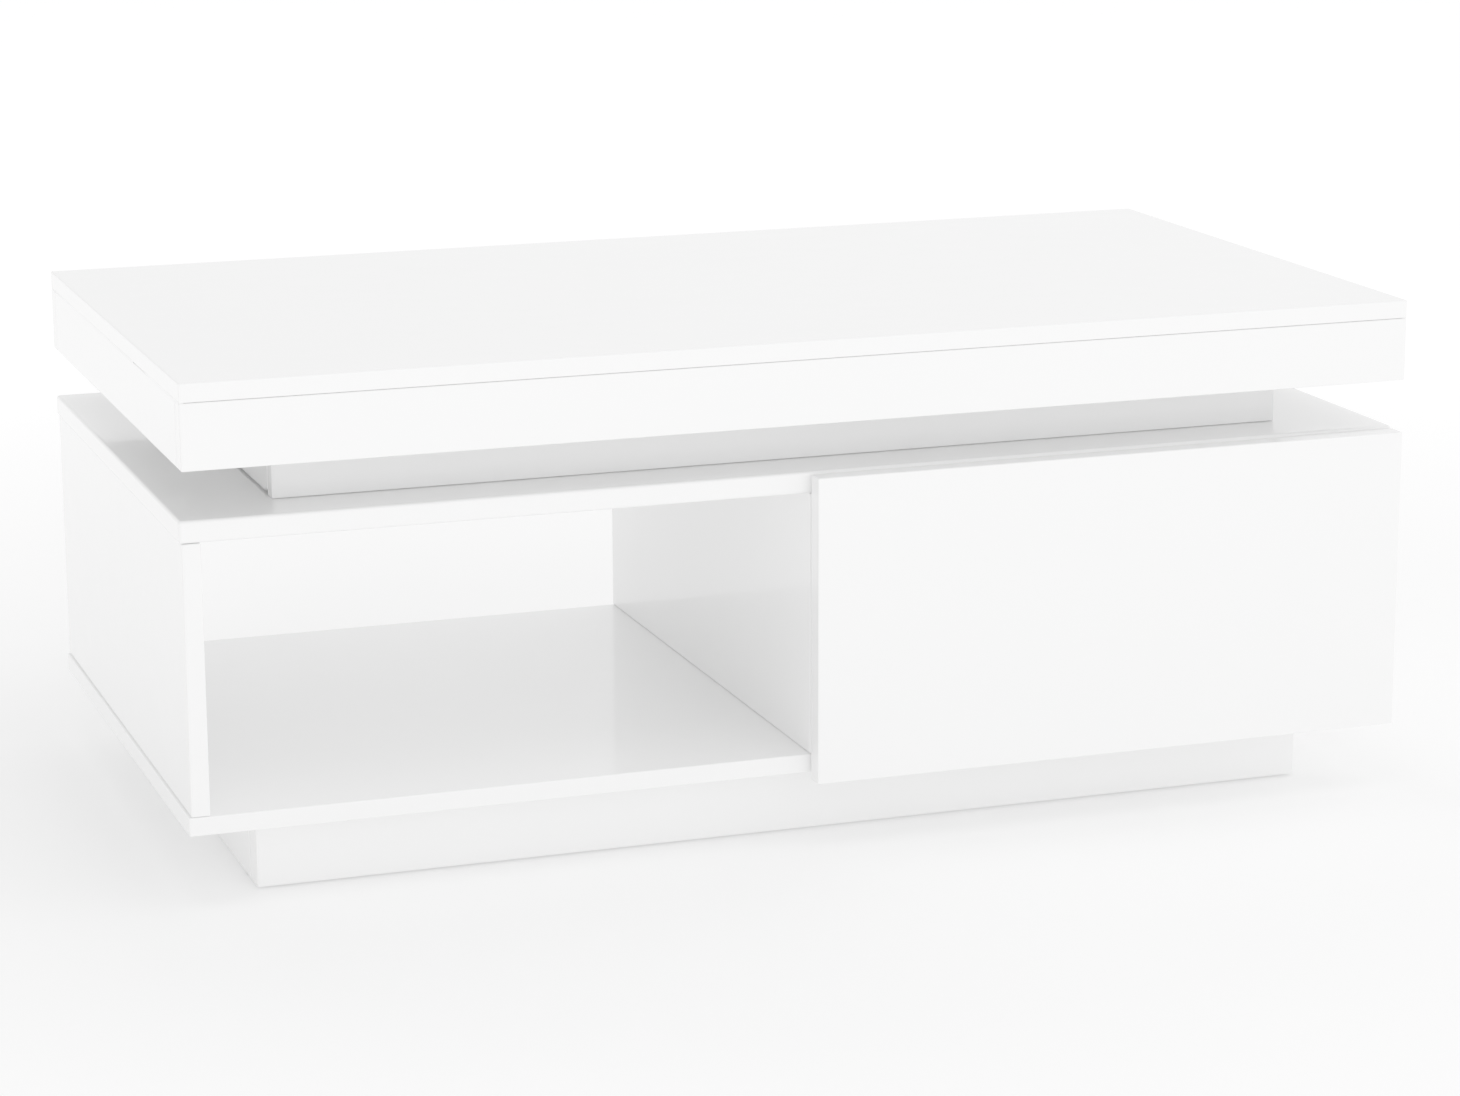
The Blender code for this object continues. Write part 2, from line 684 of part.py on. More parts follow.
def make_lift(steel, wire_steel, top_empty):
    follower_y = MAIN_PIVOT_Y + FOLLOWER_OFFSET_Y
    follower_z = MAIN_PIVOT_Z + FOLLOWER_OFFSET_Z
    lift_empty = make_empty("lift_axis", (0, MAIN_PIVOT_Y, MAIN_PIVOT_Z))
    make_cross_tube(steel, lift_empty)
    for side, sign in SIDES:
        make_base_bracket(side, sign, steel)
        main_profile = base_pin_profile(SPRING_END + PIN_PAST_SPRING)
        follower_profile = base_pin_profile(SPRING_START + FOLLOWER_PIN_REACH)
        make_pin(f"{side}_main_base_pin", sign, main_profile, MAIN_PIVOT_Y, MAIN_PIVOT_Z, steel)
        make_pin(f"{side}_follower_base_pin", sign, follower_profile, follower_y, follower_z, steel)
        make_arm(
            f"{side}_main_arm",
            sign,
            MAIN_ARM_RADIUS,
            MAIN_PIVOT_Y,
            MAIN_PIVOT_Z,
            steel,
            lift_empty,
        )
        follower_empty = make_empty(f"{side}_follower_axis", (0, follower_y, follower_z))
        make_arm(
            f"{side}_follower_arm",
            sign,
            FOLLOWER_ARM_RADIUS,
            follower_y,
            follower_z,
            steel,
            follower_empty,
        )
        make_spring(side, sign, wire_steel)
        make_top_bracket(side, sign, steel, top_empty)
        pins = (
            ("main", TOP_PIVOT_Y, MAIN_PIVOT_Z),
            ("follower", TOP_PIVOT_Y + FOLLOWER_OFFSET_Y, follower_z),
        )
        for label, y, z in pins:
            make_pin(f"{side}_{label}_top_pin", sign, top_pin_profile(), y, z, steel, top_empty)


# Top


def make_top(white, top_empty):
    """The lid: a board on a frame of four apron panels."""
    board(
        "top_board",
        (-END, FRONT, TOP_BOARD_BOTTOM),
        (END, BACK, HEIGHT),
        white,
        top_empty,
    )
    top = TOP_BOARD_BOTTOM - GAP
    board(
        "apron_front",
        (-END, FRONT, APRON_BOTTOM),
        (END, FRONT + BOARD, top),
        white,
        top_empty,
    )
    board(
        "apron_rear",
        (-END, BACK - BOARD, APRON_BOTTOM),
        (END, BACK, top),
        white,
        top_empty,
    )
    for side, sign in SIDES:
        xs = sorted((sign * END, sign * (END - BOARD)))
        board(
            f"apron_{side}",
            (xs[0], FRONT + BOARD + GAP, APRON_BOTTOM),
            (xs[1], BACK - BOARD - GAP, top),
            white,
            top_empty,
        )


# Drawer


def make_drawer(white, liner, parent):
    front_back = FRONT + DRAWER_FRONT_THICKNESS
    low, top = DRAWER_SIDE_BOTTOM, DRAWER_SIDE_BOTTOM + DRAWER_SIDE_HEIGHT
    front = board(
        "drawer_front",
        (DIVIDER_LEFT, FRONT, DRAWER_FRONT_BOTTOM),
        (END, front_back, DRAWER_FRONT_TOP),
        white,
        parent,
    )
    groove = box_guide(
        "drawer_groove_guide",
        (
            DRAWER_BOX_LEFT + DRAWER_SIDE - GROOVE_DEPTH,
            front_back - GROOVE_DEPTH,
            GROOVE_BOTTOM,
        ),
        (
            DRAWER_BOX_RIGHT - DRAWER_SIDE + GROOVE_DEPTH,
            DRAWER_BOX_BACK + GUIDE_MARGIN,
            DRAWER_BOTTOM_TOP + GAP,
        ),
        parent,
    )
    cut(front, groove)
    walls = (
        ("drawer_left_side", DRAWER_BOX_LEFT, DRAWER_BOX_LEFT + DRAWER_SIDE),
        ("drawer_right_side", DRAWER_BOX_RIGHT - DRAWER_SIDE, DRAWER_BOX_RIGHT),
    )
    for name, left, right in walls:
        wall = board(
            name,
            (left, DRAWER_BOX_FRONT, low),
            (right, DRAWER_BOX_BACK, top),
            liner,
            parent,
            edge=LINER_EDGE_ROUND,
        )
        cut(wall, groove)
    inner_left = DRAWER_BOX_LEFT + DRAWER_SIDE + GAP
    inner_right = DRAWER_BOX_RIGHT - DRAWER_SIDE - GAP
    board(
        "drawer_back",
        (inner_left, DRAWER_BOX_BACK - DRAWER_SIDE, DRAWER_BOTTOM_TOP + GAP),
        (inner_right, DRAWER_BOX_BACK, top),
        liner,
        parent,
        edge=LINER_EDGE_ROUND,
    )
    tongue = GROOVE_DEPTH - 2 * GAP
    board(
        "drawer_bottom",
        (inner_left - tongue, front_back - tongue, GROOVE_BOTTOM + GAP),
        (inner_right + tongue, DRAWER_BOX_BACK, DRAWER_BOTTOM_TOP),
        liner,
        parent,
        edge=0,
    )


def mirrored(points, sign):
    return [(x * sign, z) for x, z in points]


def channel_outline(web_at, flange_to, half_height, flange_half):
    """A channel section: x from the carcass panel, z from the slide's middle.

    flange_half is where the flanges' outer faces lie, inside or at the web's ends.
    """
    step = SLIDE_STEEL if flange_to > web_at else -SLIDE_STEEL
    return [
        (web_at, -half_height),
        (web_at, half_height),
        (web_at + step, half_height),
        (web_at + step, flange_half),
        (flange_to, flange_half),
        (flange_to, flange_half - SLIDE_STEEL),
        (web_at + step, flange_half - SLIDE_STEEL),
        (web_at + step, -flange_half + SLIDE_STEEL),
        (flange_to, -flange_half + SLIDE_STEEL),
        (flange_to, -flange_half),
        (web_at + step, -flange_half),
        (web_at + step, -half_height),
    ]


def beam_outline(web_at, flange_from, flange_to, half_height):
    """An I section: the middle member runs inside the outer one, outside the inner one."""
    web_end = web_at + SLIDE_STEEL
    inner = half_height - SLIDE_FLANGE_DEPTH
    return [
        (flange_from, half_height),
        (flange_to, half_height),
        (flange_to, inner),
        (web_end, inner),
        (web_end, -inner),
        (flange_to, -inner),
        (flange_to, -half_height),
        (flange_from, -half_height),
        (flange_from, -inner),
        (web_at, -inner),
        (web_at, inner),
        (flange_from, inner),
    ]


def make_slides(steel, drawer_empty):
    """Telescopic slides: a member on the carcass, one between, and one on the drawer."""
    half = SLIDE_HEIGHT / 2
    cabinet = channel_outline(GAP, SLIDE_CABINET_DEPTH, half, half - SLIDE_WEB_PROUD)
    middle = beam_outline(SLIDE_MIDDLE_WEB, *SLIDE_MIDDLE_FLANGE, half - SLIDE_MIDDLE_INSET)
    moving = channel_outline(
        SLIDE_SPACE - GAP,
        SLIDE_INNER_DEPTH,
        half - SLIDE_INNER_WEB_INSET,
        half - SLIDE_INNER_FLANGE_INSET,
    )
    carriers = (("left", DIVIDER_RIGHT, 1), ("right", SIDE_INNER, -1))
    for side, panel_x, sign in carriers:
        place = (panel_x, SLIDE_MIDDLE_Y, SLIDE_CENTRE_Z)
        middle_empty = make_empty(f"{side}_slide_axis", place)
        members = (
            ("cabinet", cabinet, SLIDE_LENGTH, None),
            ("middle", middle, SLIDE_LENGTH - SLIDE_MIDDLE_SHORTER, middle_empty),
            ("drawer", moving, SLIDE_LENGTH, drawer_empty),
        )
        for label, outline, length, parent in members:
            name = f"{side}_slide_{label}_member"
            mesh = prism_mesh(name, mirrored(outline, sign), length, "Y")
            add_object(name, mesh, place, steel, parent)


def build():
    clear_scene()
    white = make_material("white_lacquer", (0.92, 0.92, 0.91), 0.12, coat=0.6)
    liner = make_material("drawer_liner", (0.86, 0.86, 0.85), 0.45)
    steel = make_material("zinc_steel", (0.62, 0.63, 0.64), 0.35, metallic=1.0)
    wire_steel = make_material("spring_steel", (0.30, 0.30, 0.31), 0.40, metallic=1.0)
    rubber = make_material("clear_rubber", (0.75, 0.75, 0.74), 0.55)
    grey = make_material("glide_plastic", (0.20, 0.20, 0.20), 0.60)

    side_front, side_back = make_plinth(white)
    make_glides(grey, side_front, side_back)
    make_carcass(white)
    make_compartment(white)
    make_bumpers(rubber)

    top_empty = make_empty("top_axis", (0, TOP_PIVOT_Y, MAIN_PIVOT_Z))
    make_lift(steel, wire_steel, top_empty)
    make_top(white, top_empty)

    drawer_empty = make_empty("drawer_axis", (0, FRONT, SLIDE_CENTRE_Z))
    make_drawer(white, liner, drawer_empty)
    make_slides(steel, drawer_empty)


build()
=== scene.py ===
"""Looks of the lift top coffee table: finishes, fine hardware, studio and camera."""

import json
import math

import bmesh
import bpy
from mathutils import Matrix, Vector


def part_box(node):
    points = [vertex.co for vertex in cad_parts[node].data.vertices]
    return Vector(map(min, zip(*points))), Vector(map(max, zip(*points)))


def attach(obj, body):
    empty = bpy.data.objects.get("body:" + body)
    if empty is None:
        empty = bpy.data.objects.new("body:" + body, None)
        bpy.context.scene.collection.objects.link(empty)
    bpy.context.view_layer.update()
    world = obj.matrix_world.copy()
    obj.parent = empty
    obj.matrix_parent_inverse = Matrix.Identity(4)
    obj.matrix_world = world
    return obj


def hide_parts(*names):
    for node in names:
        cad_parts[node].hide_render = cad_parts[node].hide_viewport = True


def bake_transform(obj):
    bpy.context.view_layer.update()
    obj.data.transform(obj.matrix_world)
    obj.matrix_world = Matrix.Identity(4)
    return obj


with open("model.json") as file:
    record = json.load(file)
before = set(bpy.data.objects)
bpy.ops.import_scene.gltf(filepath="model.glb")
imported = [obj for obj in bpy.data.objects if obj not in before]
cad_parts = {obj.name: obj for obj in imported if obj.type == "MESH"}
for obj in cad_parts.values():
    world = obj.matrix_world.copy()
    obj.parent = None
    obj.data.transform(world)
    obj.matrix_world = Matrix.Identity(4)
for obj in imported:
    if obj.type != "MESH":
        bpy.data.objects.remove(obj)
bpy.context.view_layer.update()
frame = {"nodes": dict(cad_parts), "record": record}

RECORD = frame["record"]
SLOT_OF = {row["node"]: row["material_slot"] for row in RECORD["subparts"]}
JOINTS = {row["name"]: row for row in RECORD["behaviour"]["joints"]}
SIDES = (("left", -1), ("right", 1))


def low(node):
    return Vector(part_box(node)[0])


def high(node):
    return Vector(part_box(node)[1])


def middle(node):
    return (low(node) + high(node)) / 2


# Pivots of the lift, in the table's frame
MAIN_PIVOT = Vector(JOINTS["lift"]["pos_m"])
TOP_PIVOT = Vector(JOINTS["top_level"]["pos_m"])
FOLLOWER_PIVOT = Vector((0.0, *JOINTS["right_follower_turn"]["pos_m"][1:]))
TOP_FOLLOWER_PIVOT = FOLLOWER_PIVOT + TOP_PIVOT - MAIN_PIVOT

# Layers of the lift, measured inward from the compartment side walls' inner faces
WALL_INNER = low("compartment_right_wall").x
PLATE_START = WALL_INNER - high("right_base_bracket").x
ARM_START = WALL_INNER - high("right_main_arm").x
ARM_END = WALL_INNER - low("right_main_arm").x
TOP_PLATE_START = WALL_INNER - high("right_top_bracket").x
FLANGE_END = WALL_INNER - low("right_top_bracket").x
MAIN_PIN_END = WALL_INNER - low("right_main_base_pin").x
FOLLOWER_PIN_END = WALL_INNER - low("right_follower_base_pin").x
STEEL = 0.003  # bracket plate
PIN_RADIUS = 0.004
HEAD_RADIUS = 0.0075
PIN_PLAY = 0.0003

# Camera, in the table's frame
CAMERA_AT = (-1.158, -3.347, 1.054)
CAMERA_YAW = math.radians(19.33)  # turned to the right of +Y
CAMERA_PITCH = math.radians(13.48)  # tilted down
CAMERA_ROLL = math.radians(-0.22)
LENS_MM = 97.5
SENSOR_MM = 36.0
VIEW_DEPTH = 60.0

# Studio
DOME_LEFT = 0.40
DOME_RIGHT = 1.00
HORIZON_GLOW = 0.98
HORIZON_BAND = (0.03, 0.30)  # heights of direction over which the glow fades
FLOOR_SIZE = 60.0
GLOW_NEAR = 0.12  # floor's own light under the table
GLOW_FAR = 0.32
GLOW_REACH = (0.7, 2.2)  # from the table's middle
LIGHT_AIM = (0.0, 0.0, 0.3)
SOFTBOXES = {  # place, size in metres, power in watts
    "front_softbox": ((0.0, -4.5, 1.5), (3.6, 2.2), 11.5),
    "top_softbox": ((0.0, -1.0, 3.5), (3.0, 2.0), 12.0),
}
DISPLAY_GAMMA = 1.9


# ---- node helpers


def new_material(name):
    material = bpy.data.materials.new(name)
    material.use_nodes = True
    tree = material.node_tree
    return material, tree, tree.nodes["Principled BSDF"]


def noise(tree, coords, scale, detail=2.0, roughness=0.5):
    node = tree.nodes.new("ShaderNodeTexNoise")
    node.inputs["Scale"].default_value = scale
    node.inputs["Detail"].default_value = detail
    node.inputs["Roughness"].default_value = roughness
    tree.links.new(coords, node.inputs["Vector"])
    return node.outputs["Fac"]


def object_coords(tree, stretch=None):
    """Object coordinates, in metres, which ride with the piece."""
    node = tree.nodes.new("ShaderNodeTexCoord")
    if not stretch:
        return node.outputs["Object"]
    mapping = tree.nodes.new("ShaderNodeMapping")
    mapping.inputs["Scale"].default_value = stretch
    tree.links.new(node.outputs["Object"], mapping.inputs["Vector"])
    return mapping.outputs["Vector"]


def remap(tree, value, lowest, highest, start=0.3, end=0.7):
    """A value between start and end spread from lowest to highest. Noise lies in 0.3 to 0.7."""
    node = tree.nodes.new("ShaderNodeMapRange")
    node.inputs["From Min"].default_value = start
    node.inputs["From Max"].default_value = end
    node.inputs["To Min"].default_value = lowest
    node.inputs["To Max"].default_value = highest
    tree.links.new(value, node.inputs["Value"])
    return node.outputs["Result"]


def blend_colours(tree, factor, first, second):
    node = tree.nodes.new("ShaderNodeMix")
    node.data_type = "RGBA"
    node.inputs[6].default_value = (*first, 1.0)
    node.inputs[7].default_value = (*second, 1.0)
    tree.links.new(factor, node.inputs[0])
    return node.outputs[2]


def bump(tree, height, strength, distance, below=None):
    node = tree.nodes.new("ShaderNodeBump")
    node.inputs["Strength"].default_value = strength
    node.inputs["Distance"].default_value = distance
    tree.links.new(height, node.inputs["Height"])
    if below:
        tree.links.new(below, node.inputs["Normal"])
    return node.outputs["Normal"]


# ---- finishes


FINISHES = {}


def mottled(name, dark, light, cloud, rough, grain=None, stretch=None, relief=None, metallic=0.0):
    """A finish between two colours. Cloud and grain are a noise's numbers, relief a bump's.

    The grain, or the cloud where there is no grain, moves the roughness and makes the relief.
    """
    FINISHES[name], tree, shader = new_material(name)
    shader.inputs["Metallic"].default_value = metallic
    clouds = noise(tree, object_coords(tree), *cloud)
    tree.links.new(blend_colours(tree, clouds, dark, light), shader.inputs["Base Color"])
    fine = noise(tree, object_coords(tree, stretch), *grain) if grain else clouds
    tree.links.new(remap(tree, fine, *rough), shader.inputs["Roughness"])
    if relief:
        tree.links.new(bump(tree, fine, *relief), shader.inputs["Normal"])
    return tree, shader


LACQUER_COAT = {"IOR": 1.48, "Coat Weight": 0.7, "Coat Roughness": 0.035}
SAG = (38.0, 1.0)  # noise of the board under the coat, and its bump
SAG_RELIEF = (0.05, 0.0004)
PEEL = (420.0, 2.0)  # noise of the coat's orange peel, and its bump
PEEL_RELIEF = (0.10, 0.00012)


def make_lacquer():
    """High-gloss white lacquer: a coat with a slight orange peel over sanded fibreboard."""
    tree, shader = mottled(
        "white_lacquer", dark=(0.952, 0.953, 0.951), light=(0.957, 0.958, 0.957),
        cloud=(9.0, 3.0), rough=(0.16, 0.22),
    )
    for socket, value in LACQUER_COAT.items():
        shader.inputs[socket].default_value = value
    coords = object_coords(tree)
    coarse = bump(tree, noise(tree, coords, *SAG), *SAG_RELIEF)
    fine = bump(tree, noise(tree, coords, *PEEL), *PEEL_RELIEF, coarse)
    tree.links.new(fine, shader.inputs["Coat Normal"])
    tree.links.new(coarse, shader.inputs["Normal"])


def make_finishes():
    make_lacquer()
    # Satin white melamine with a fine pebbled grain
    mottled(
        "drawer_liner", dark=(0.86, 0.86, 0.85), light=(0.90, 0.90, 0.89), cloud=(14.0, 2.0),
        grain=(900.0, 3.0), rough=(0.38, 0.52), relief=(0.25, 0.0001),
    )
    # Zinc plate on rolled steel, with a faint rolling grain and cloudy passivation
    mottled(
        "zinc_steel", dark=(0.22, 0.225, 0.23), light=(0.34, 0.345, 0.35),
        cloud=(55.0, 4.0, 0.6), grain=(700.0, 2.0), stretch=(1.0, 0.05, 1.0), rough=(0.26, 0.42),
        relief=(0.15, 0.00005), metallic=1.0,
    )
    # Dark oiled spring wire
    mottled(
        "spring_steel", dark=(0.030, 0.030, 0.032), light=(0.075, 0.075, 0.078),
        cloud=(160.0, 3.0), rough=(0.25, 0.45), metallic=1.0,
    )
    # Milky soft rubber
    mottled(
        "bumper_rubber", dark=(0.70, 0.70, 0.68), light=(0.80, 0.80, 0.78), cloud=(300.0, 2.0),
        rough=(0.45, 0.60),
    )
    # Dark moulded plastic with a fine spark-eroded texture
    mottled(
        "glide_plastic", dark=(0.030, 0.030, 0.030), light=(0.055, 0.055, 0.055),
        cloud=(1500.0, 2.0), rough=(0.5, 0.65), relief=(0.3, 0.0001),
    )


def dress_nodes():
    """Every CAD node gets its slot's finish."""
    for name, node in frame["nodes"].items():
        node.data.materials.clear()
        node.data.materials.append(FINISHES[SLOT_OF[name]])


# ---- shape helpers


# Where a point of an outline goes, at a depth across its plane
PLANES = {
    "X": lambda a, b, depth: (depth, a, b),
    "Y": lambda a, b, depth: (a, depth, b),
    "Z": lambda a, b, depth: (a, b, depth),
}


def arc(centre, radius, start, end, steps):
    """Points along an arc, angles in degrees."""
    points = []
    for step in range(steps + 1):
        angle = math.radians(start + (end - start) * step / steps)
        across = Vector((math.cos(angle), math.sin(angle)))
        points.append(Vector(centre) + radius * across)
    return points


def circle(centre, radius, steps=32):
    return arc(centre, radius, 0, 360, steps)[:-1]


def bar_outline(start, end, radius, steps=14):
    """A bar with round ends between two points."""
    run = Vector(end) - Vector(start)
    turn = math.degrees(math.atan2(run.y, run.x))
    outline = arc(end, radius, turn - 90, turn + 90, steps)
    return outline + arc(start, radius, turn + 90, turn + 270, steps)


def rounded_rectangle(corner, opposite, radius, steps=6):
    left, bottom = corner
    right, top = opposite
    points = arc((right - radius, top - radius), radius, 0, 90, steps)
    points += arc((left + radius, top - radius), radius, 90, 180, steps)
    points += arc((left + radius, bottom + radius), radius, 180, 270, steps)
    points += arc((right - radius, bottom + radius), radius, 270, 360, steps)
    return points


def turned_left(points):
    """The closed outline, running anticlockwise."""
    doubled = sum(a.x * b.y - b.x * a.y for a, b in zip(points, points[1:] + points[:1]))
    return points if doubled > 0 else points[::-1]


def inset(points, distance):
    """The closed outline moved to its left. A hole that runs clockwise grows."""
    moved = []
    for index, here in enumerate(points):
        before = (here - points[index - 1]).normalized()
        after = (points[(index + 1) % len(points)] - here).normalized()
        first = Vector((-before.y, before.x))
        second = Vector((-after.y, after.x))
        moved.append(here + (first + second) * (distance / (1 + first.dot(second))))
    return moved


def skin(bm, rings):
    """Faces from each ring of vertices to the next."""
    for first, second in zip(rings, rings[1:]):
        for index in range(len(first)):
            bm.faces.new((first[index - 1], first[index], second[index], second[index - 1]))


def close_end(bm, ring, tip):
    """Triangles from a ring of vertices to one point."""
    tip = bm.verts.new(tip)
    for here, after in zip(ring, ring[1:] + ring[:1]):
        bm.faces.new((here, after, tip))


def rim(start, end, rounding, steps=3):
    """(inset, depth) pairs from one face of a plate, round its edge, to the other face."""
    pairs = []
    for step in range(steps + 1):
        turn = math.pi / 2 * step / steps
        pairs.append((rounding * (1 - math.sin(turn)), rounding * (1 - math.cos(turn))))
    thickness = end - start
    back = [(moved, thickness - depth) for moved, depth in reversed(pairs)]
    return [(moved, start + depth) for moved, depth in pairs + back]


def plate(plane, outline, start, end, holes=(), rounding=0.0004):
    """A plate with rounded edges and holes, between two depths across its plane."""
    bm = bmesh.new()
    place = PLANES[plane]
    faces = ([], [])
    loops = [turned_left(list(outline))]
    loops += [turned_left(list(hole))[::-1] for hole in holes]
    for loop in loops:
        rings = [
            [bm.verts.new(place(point.x, point.y, depth)) for point in inset(loop, moved)]
            for moved, depth in rim(start, end, rounding)
        ]
        skin(bm, rings)
        for edges, ring in zip(faces, (rings[0], rings[-1])):
            edges += [bm.edges.get((a, b)) for a, b in zip(ring, ring[1:] + ring[:1])]
    for edges in faces:
        bmesh.ops.triangle_fill(bm, edges=edges, use_beauty=True)
    return bm


def strip_outline(line, thickness):
    """The closed section of a bent strip, from the middle line of its thickness."""
    half = thickness / 2
    sides = ([], [])
    for index, here in enumerate(line):
        before = line[max(index - 1, 0)]
        after = line[min(index + 1, len(line) - 1)]
        along = (after - before).normalized()
        across = Vector((-along.y, along.x)) * half
        sides[0].append(here + across)
        sides[1].append(here - across)
    return sides[0] + sides[1][::-1]


def lathe(profile, segments=40):
    """A solid turned about the X axis from (x, radius) points that start and end on the axis."""
    bm = bmesh.new()
    rings = []
    for x, radius in profile[1:-1]:
        turns = [2 * math.pi * step / segments for step in range(segments)]
        rings.append([bm.verts.new((x, radius * math.cos(t), radius * math.sin(t))) for t in turns])
    skin(bm, rings)
    close_end(bm, rings[0], (profile[0][0], 0.0, 0.0))
    close_end(bm, rings[-1], (profile[-1][0], 0.0, 0.0))
    return bm


WIRE_TIP = 0.3  # rise of a wire's domed end, as a share of its radius


def sweep(points, radius, segments=14):
    """A round wire along a path, with slightly domed ends."""
    bm = bmesh.new()
    rings = []
    side = None
    for index, here in enumerate(points):
        before = points[max(index - 1, 0)]
        after = points[min(index + 1, len(points) - 1)]
        along = (after - before).normalized()
        if side is None:
            side = along.orthogonal()
        side = (side - along * side.dot(along)).normalized()
        other = along.cross(side)
        ring = []
        for step in range(segments):
            turn = 2 * math.pi * step / segments
            offset = (side * math.cos(turn) + other * math.sin(turn)) * radius
            ring.append(bm.verts.new(here + offset))
        rings.append(ring)
    skin(bm, rings)
    first = (points[1] - points[0]).normalized()
    close_end(bm, rings[0], points[0] - first * radius * WIRE_TIP)
    close_end(bm, rings[-1], points[-1] + along * radius * WIRE_TIP)
    return bm


def add_object(name, data):
    made = bpy.data.objects.new(name, data)
    bpy.context.scene.collection.objects.link(made)
    return made


def to_mesh(bm, name="shape"):
    """The shape as a mesh with its faces pointing out. The bmesh is used up."""
    bmesh.ops.recalc_face_normals(bm, faces=bm.faces)
    mesh = bpy.data.meshes.new(name)
    bm.to_mesh(mesh)
    bm.free()
    return mesh


def carve(mesh, cutter):
    """The mesh with a cutter mesh taken out of it. Both are used up."""
    solids = [add_object("carving", part) for part in (mesh, cutter)]
    boolean = solids[0].modifiers.new("cut", "BOOLEAN")
    boolean.operation = "DIFFERENCE"
    boolean.solver = "EXACT"
    boolean.object = solids[1]
    evaluated = solids[0].evaluated_get(bpy.context.evaluated_depsgraph_get())
    carved = bpy.data.meshes.new_from_object(evaluated)
    for solid in solids:
        bpy.data.objects.remove(solid, do_unlink=True)
    bpy.data.meshes.remove(mesh)
    bpy.data.meshes.remove(cutter)
    return carved


def facing(at, direction):
    """The place of a part that was made along +X and now points in a direction."""
    turn = Vector((1, 0, 0)).rotation_difference(Vector(direction)).to_matrix().to_4x4()
    return Matrix.Translation(at) @ turn


def inward(sign, y, z):
    """The place of a turned part whose X is its distance inward from a compartment wall."""
    return Matrix.Translation((sign * WALL_INNER, y, z)) @ Matrix.Diagonal((-sign, 1, 1, 1))


HERE = Matrix()


def gather(parts):
    """One bmesh from (mesh or bmesh, place) pairs. A bmesh is used up, a mesh isn't."""
    whole = bmesh.new()
    for shape, place in parts:
        own = shape if isinstance(shape, bpy.types.Mesh) else to_mesh(shape)
        moved = own.copy()
        moved.transform(place)
        whole.from_mesh(moved)
        bpy.data.meshes.remove(moved)
        if own is not shape:
            bpy.data.meshes.remove(own)
    return whole


SMOOTH_ANGLE = math.radians(38)


def add_piece(name, bm, slot, body, *nodes):
    """A finished piece that rides on a body and may stand for CAD nodes."""
    mesh = to_mesh(bm, name)
    mesh.shade_smooth()
    mesh.set_sharp_from_angle(angle=SMOOTH_ANGLE)
    piece = add_object(name, mesh)
    mesh.materials.append(FINISHES[slot])
    if nodes:
        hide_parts(*nodes)
    if body:
        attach(piece, body)
    return piece


# ---- fasteners


RECESS_TAPER = 0.45  # width at the bottom, as a share of the width at the top
RECESS_PAST = 0.0005  # cutter's height above the head


def tapered_bar(length, width, depth, top):
    """One wing of a driver recess: it narrows as it goes down from the head's top."""
    bm = bmesh.new()
    rings = []
    for x, share in ((top + RECESS_PAST, 1.0), (top - depth, RECESS_TAPER)):
        half = Vector((length / 2, width / 2)) * share
        corners = ((half.x, half.y), (-half.x, half.y), (-half.x, -half.y), (half.x, -half.y))
        rings.append([bm.verts.new((x, y, z)) for y, z in corners])
    skin(bm, rings)
    bm.faces.new(rings[0])
    bm.faces.new(rings[1])
    return bm


def cross_head(profile, length, width, depth):
    """A turned head with a cross recess."""
    top = profile[-1][0]
    head = to_mesh(lathe(profile, 32))
    for turn in (0.0, math.pi / 2):
        wing = to_mesh(tapered_bar(length, width, depth, top))
        wing.transform(Matrix.Rotation(turn + math.pi / 4, 4, "X"))
        head = carve(head, wing)
    return head


def socket_head(profile, across, depth):
    """A turned head with a six-sided socket."""
    top = profile[-1][0]
    head = to_mesh(lathe(profile, 32))
    hexagon = circle((0, 0), across / math.sqrt(3), 6)
    socket = to_mesh(plate("X", hexagon, top - depth, top + depth, rounding=0.00005))
    return carve(head, socket)


# Heads stand along +X, with the surface that they're driven into at 0.
PAN_PROFILE = (
    (-0.0006, 0.0), (-0.0006, 0.0036), (0.0005, 0.0040), (0.0012, 0.0037), (0.0018, 0.0029),
    (0.0022, 0.0016), (0.0023, 0.0),
)
FLAT_PROFILE = (
    (-0.0020, 0.0), (-0.0020, 0.0026), (-0.0003, 0.0045), (-0.0001, 0.0045), (0.0, 0.0043),
    (0.0, 0.0),
)
EURO_PROFILE = (
    (-0.0006, 0.0), (-0.0006, 0.0041), (0.0003, 0.0042), (0.0008, 0.0038), (0.0011, 0.0028),
    (0.0012, 0.0),
)
CONFIRMAT_PROFILE = (
    (-0.0020, 0.0), (-0.0020, 0.0034), (0.0001, 0.0036), (0.0003, 0.0034), (0.0003, 0.0),
)
CAM_PROFILE = (
    (-0.0030, 0.0), (-0.0030, 0.0071), (0.0002, 0.0073), (0.0005, 0.0070), (0.0005, 0.0058),
    (0.0003, 0.0056), (0.0003, 0.0),
)
CAP_PROFILE = (
    (-0.0008, 0.0), (-0.0008, 0.0084), (0.0002, 0.0087), (0.0007, 0.0083), (0.0010, 0.0072),
    (0.0013, 0.0040), (0.0014, 0.0),
)

# Recesses: length, width and depth of a cross, or width and depth of a socket
HEADS = {
    "pan": cross_head(PAN_PROFILE, 0.0044, 0.0011, 0.0014),
    "flat": cross_head(FLAT_PROFILE, 0.0050, 0.0012, 0.0014),
    "euro": cross_head(EURO_PROFILE, 0.0050, 0.0012, 0.0010),
    "confirmat": socket_head(CONFIRMAT_PROFILE, 0.0040, 0.0014),
    "cam": cross_head(CAM_PROFILE, 0.0080, 0.0018, 0.0020),
    "cap": to_mesh(lathe(CAP_PROFILE, 40)),
}


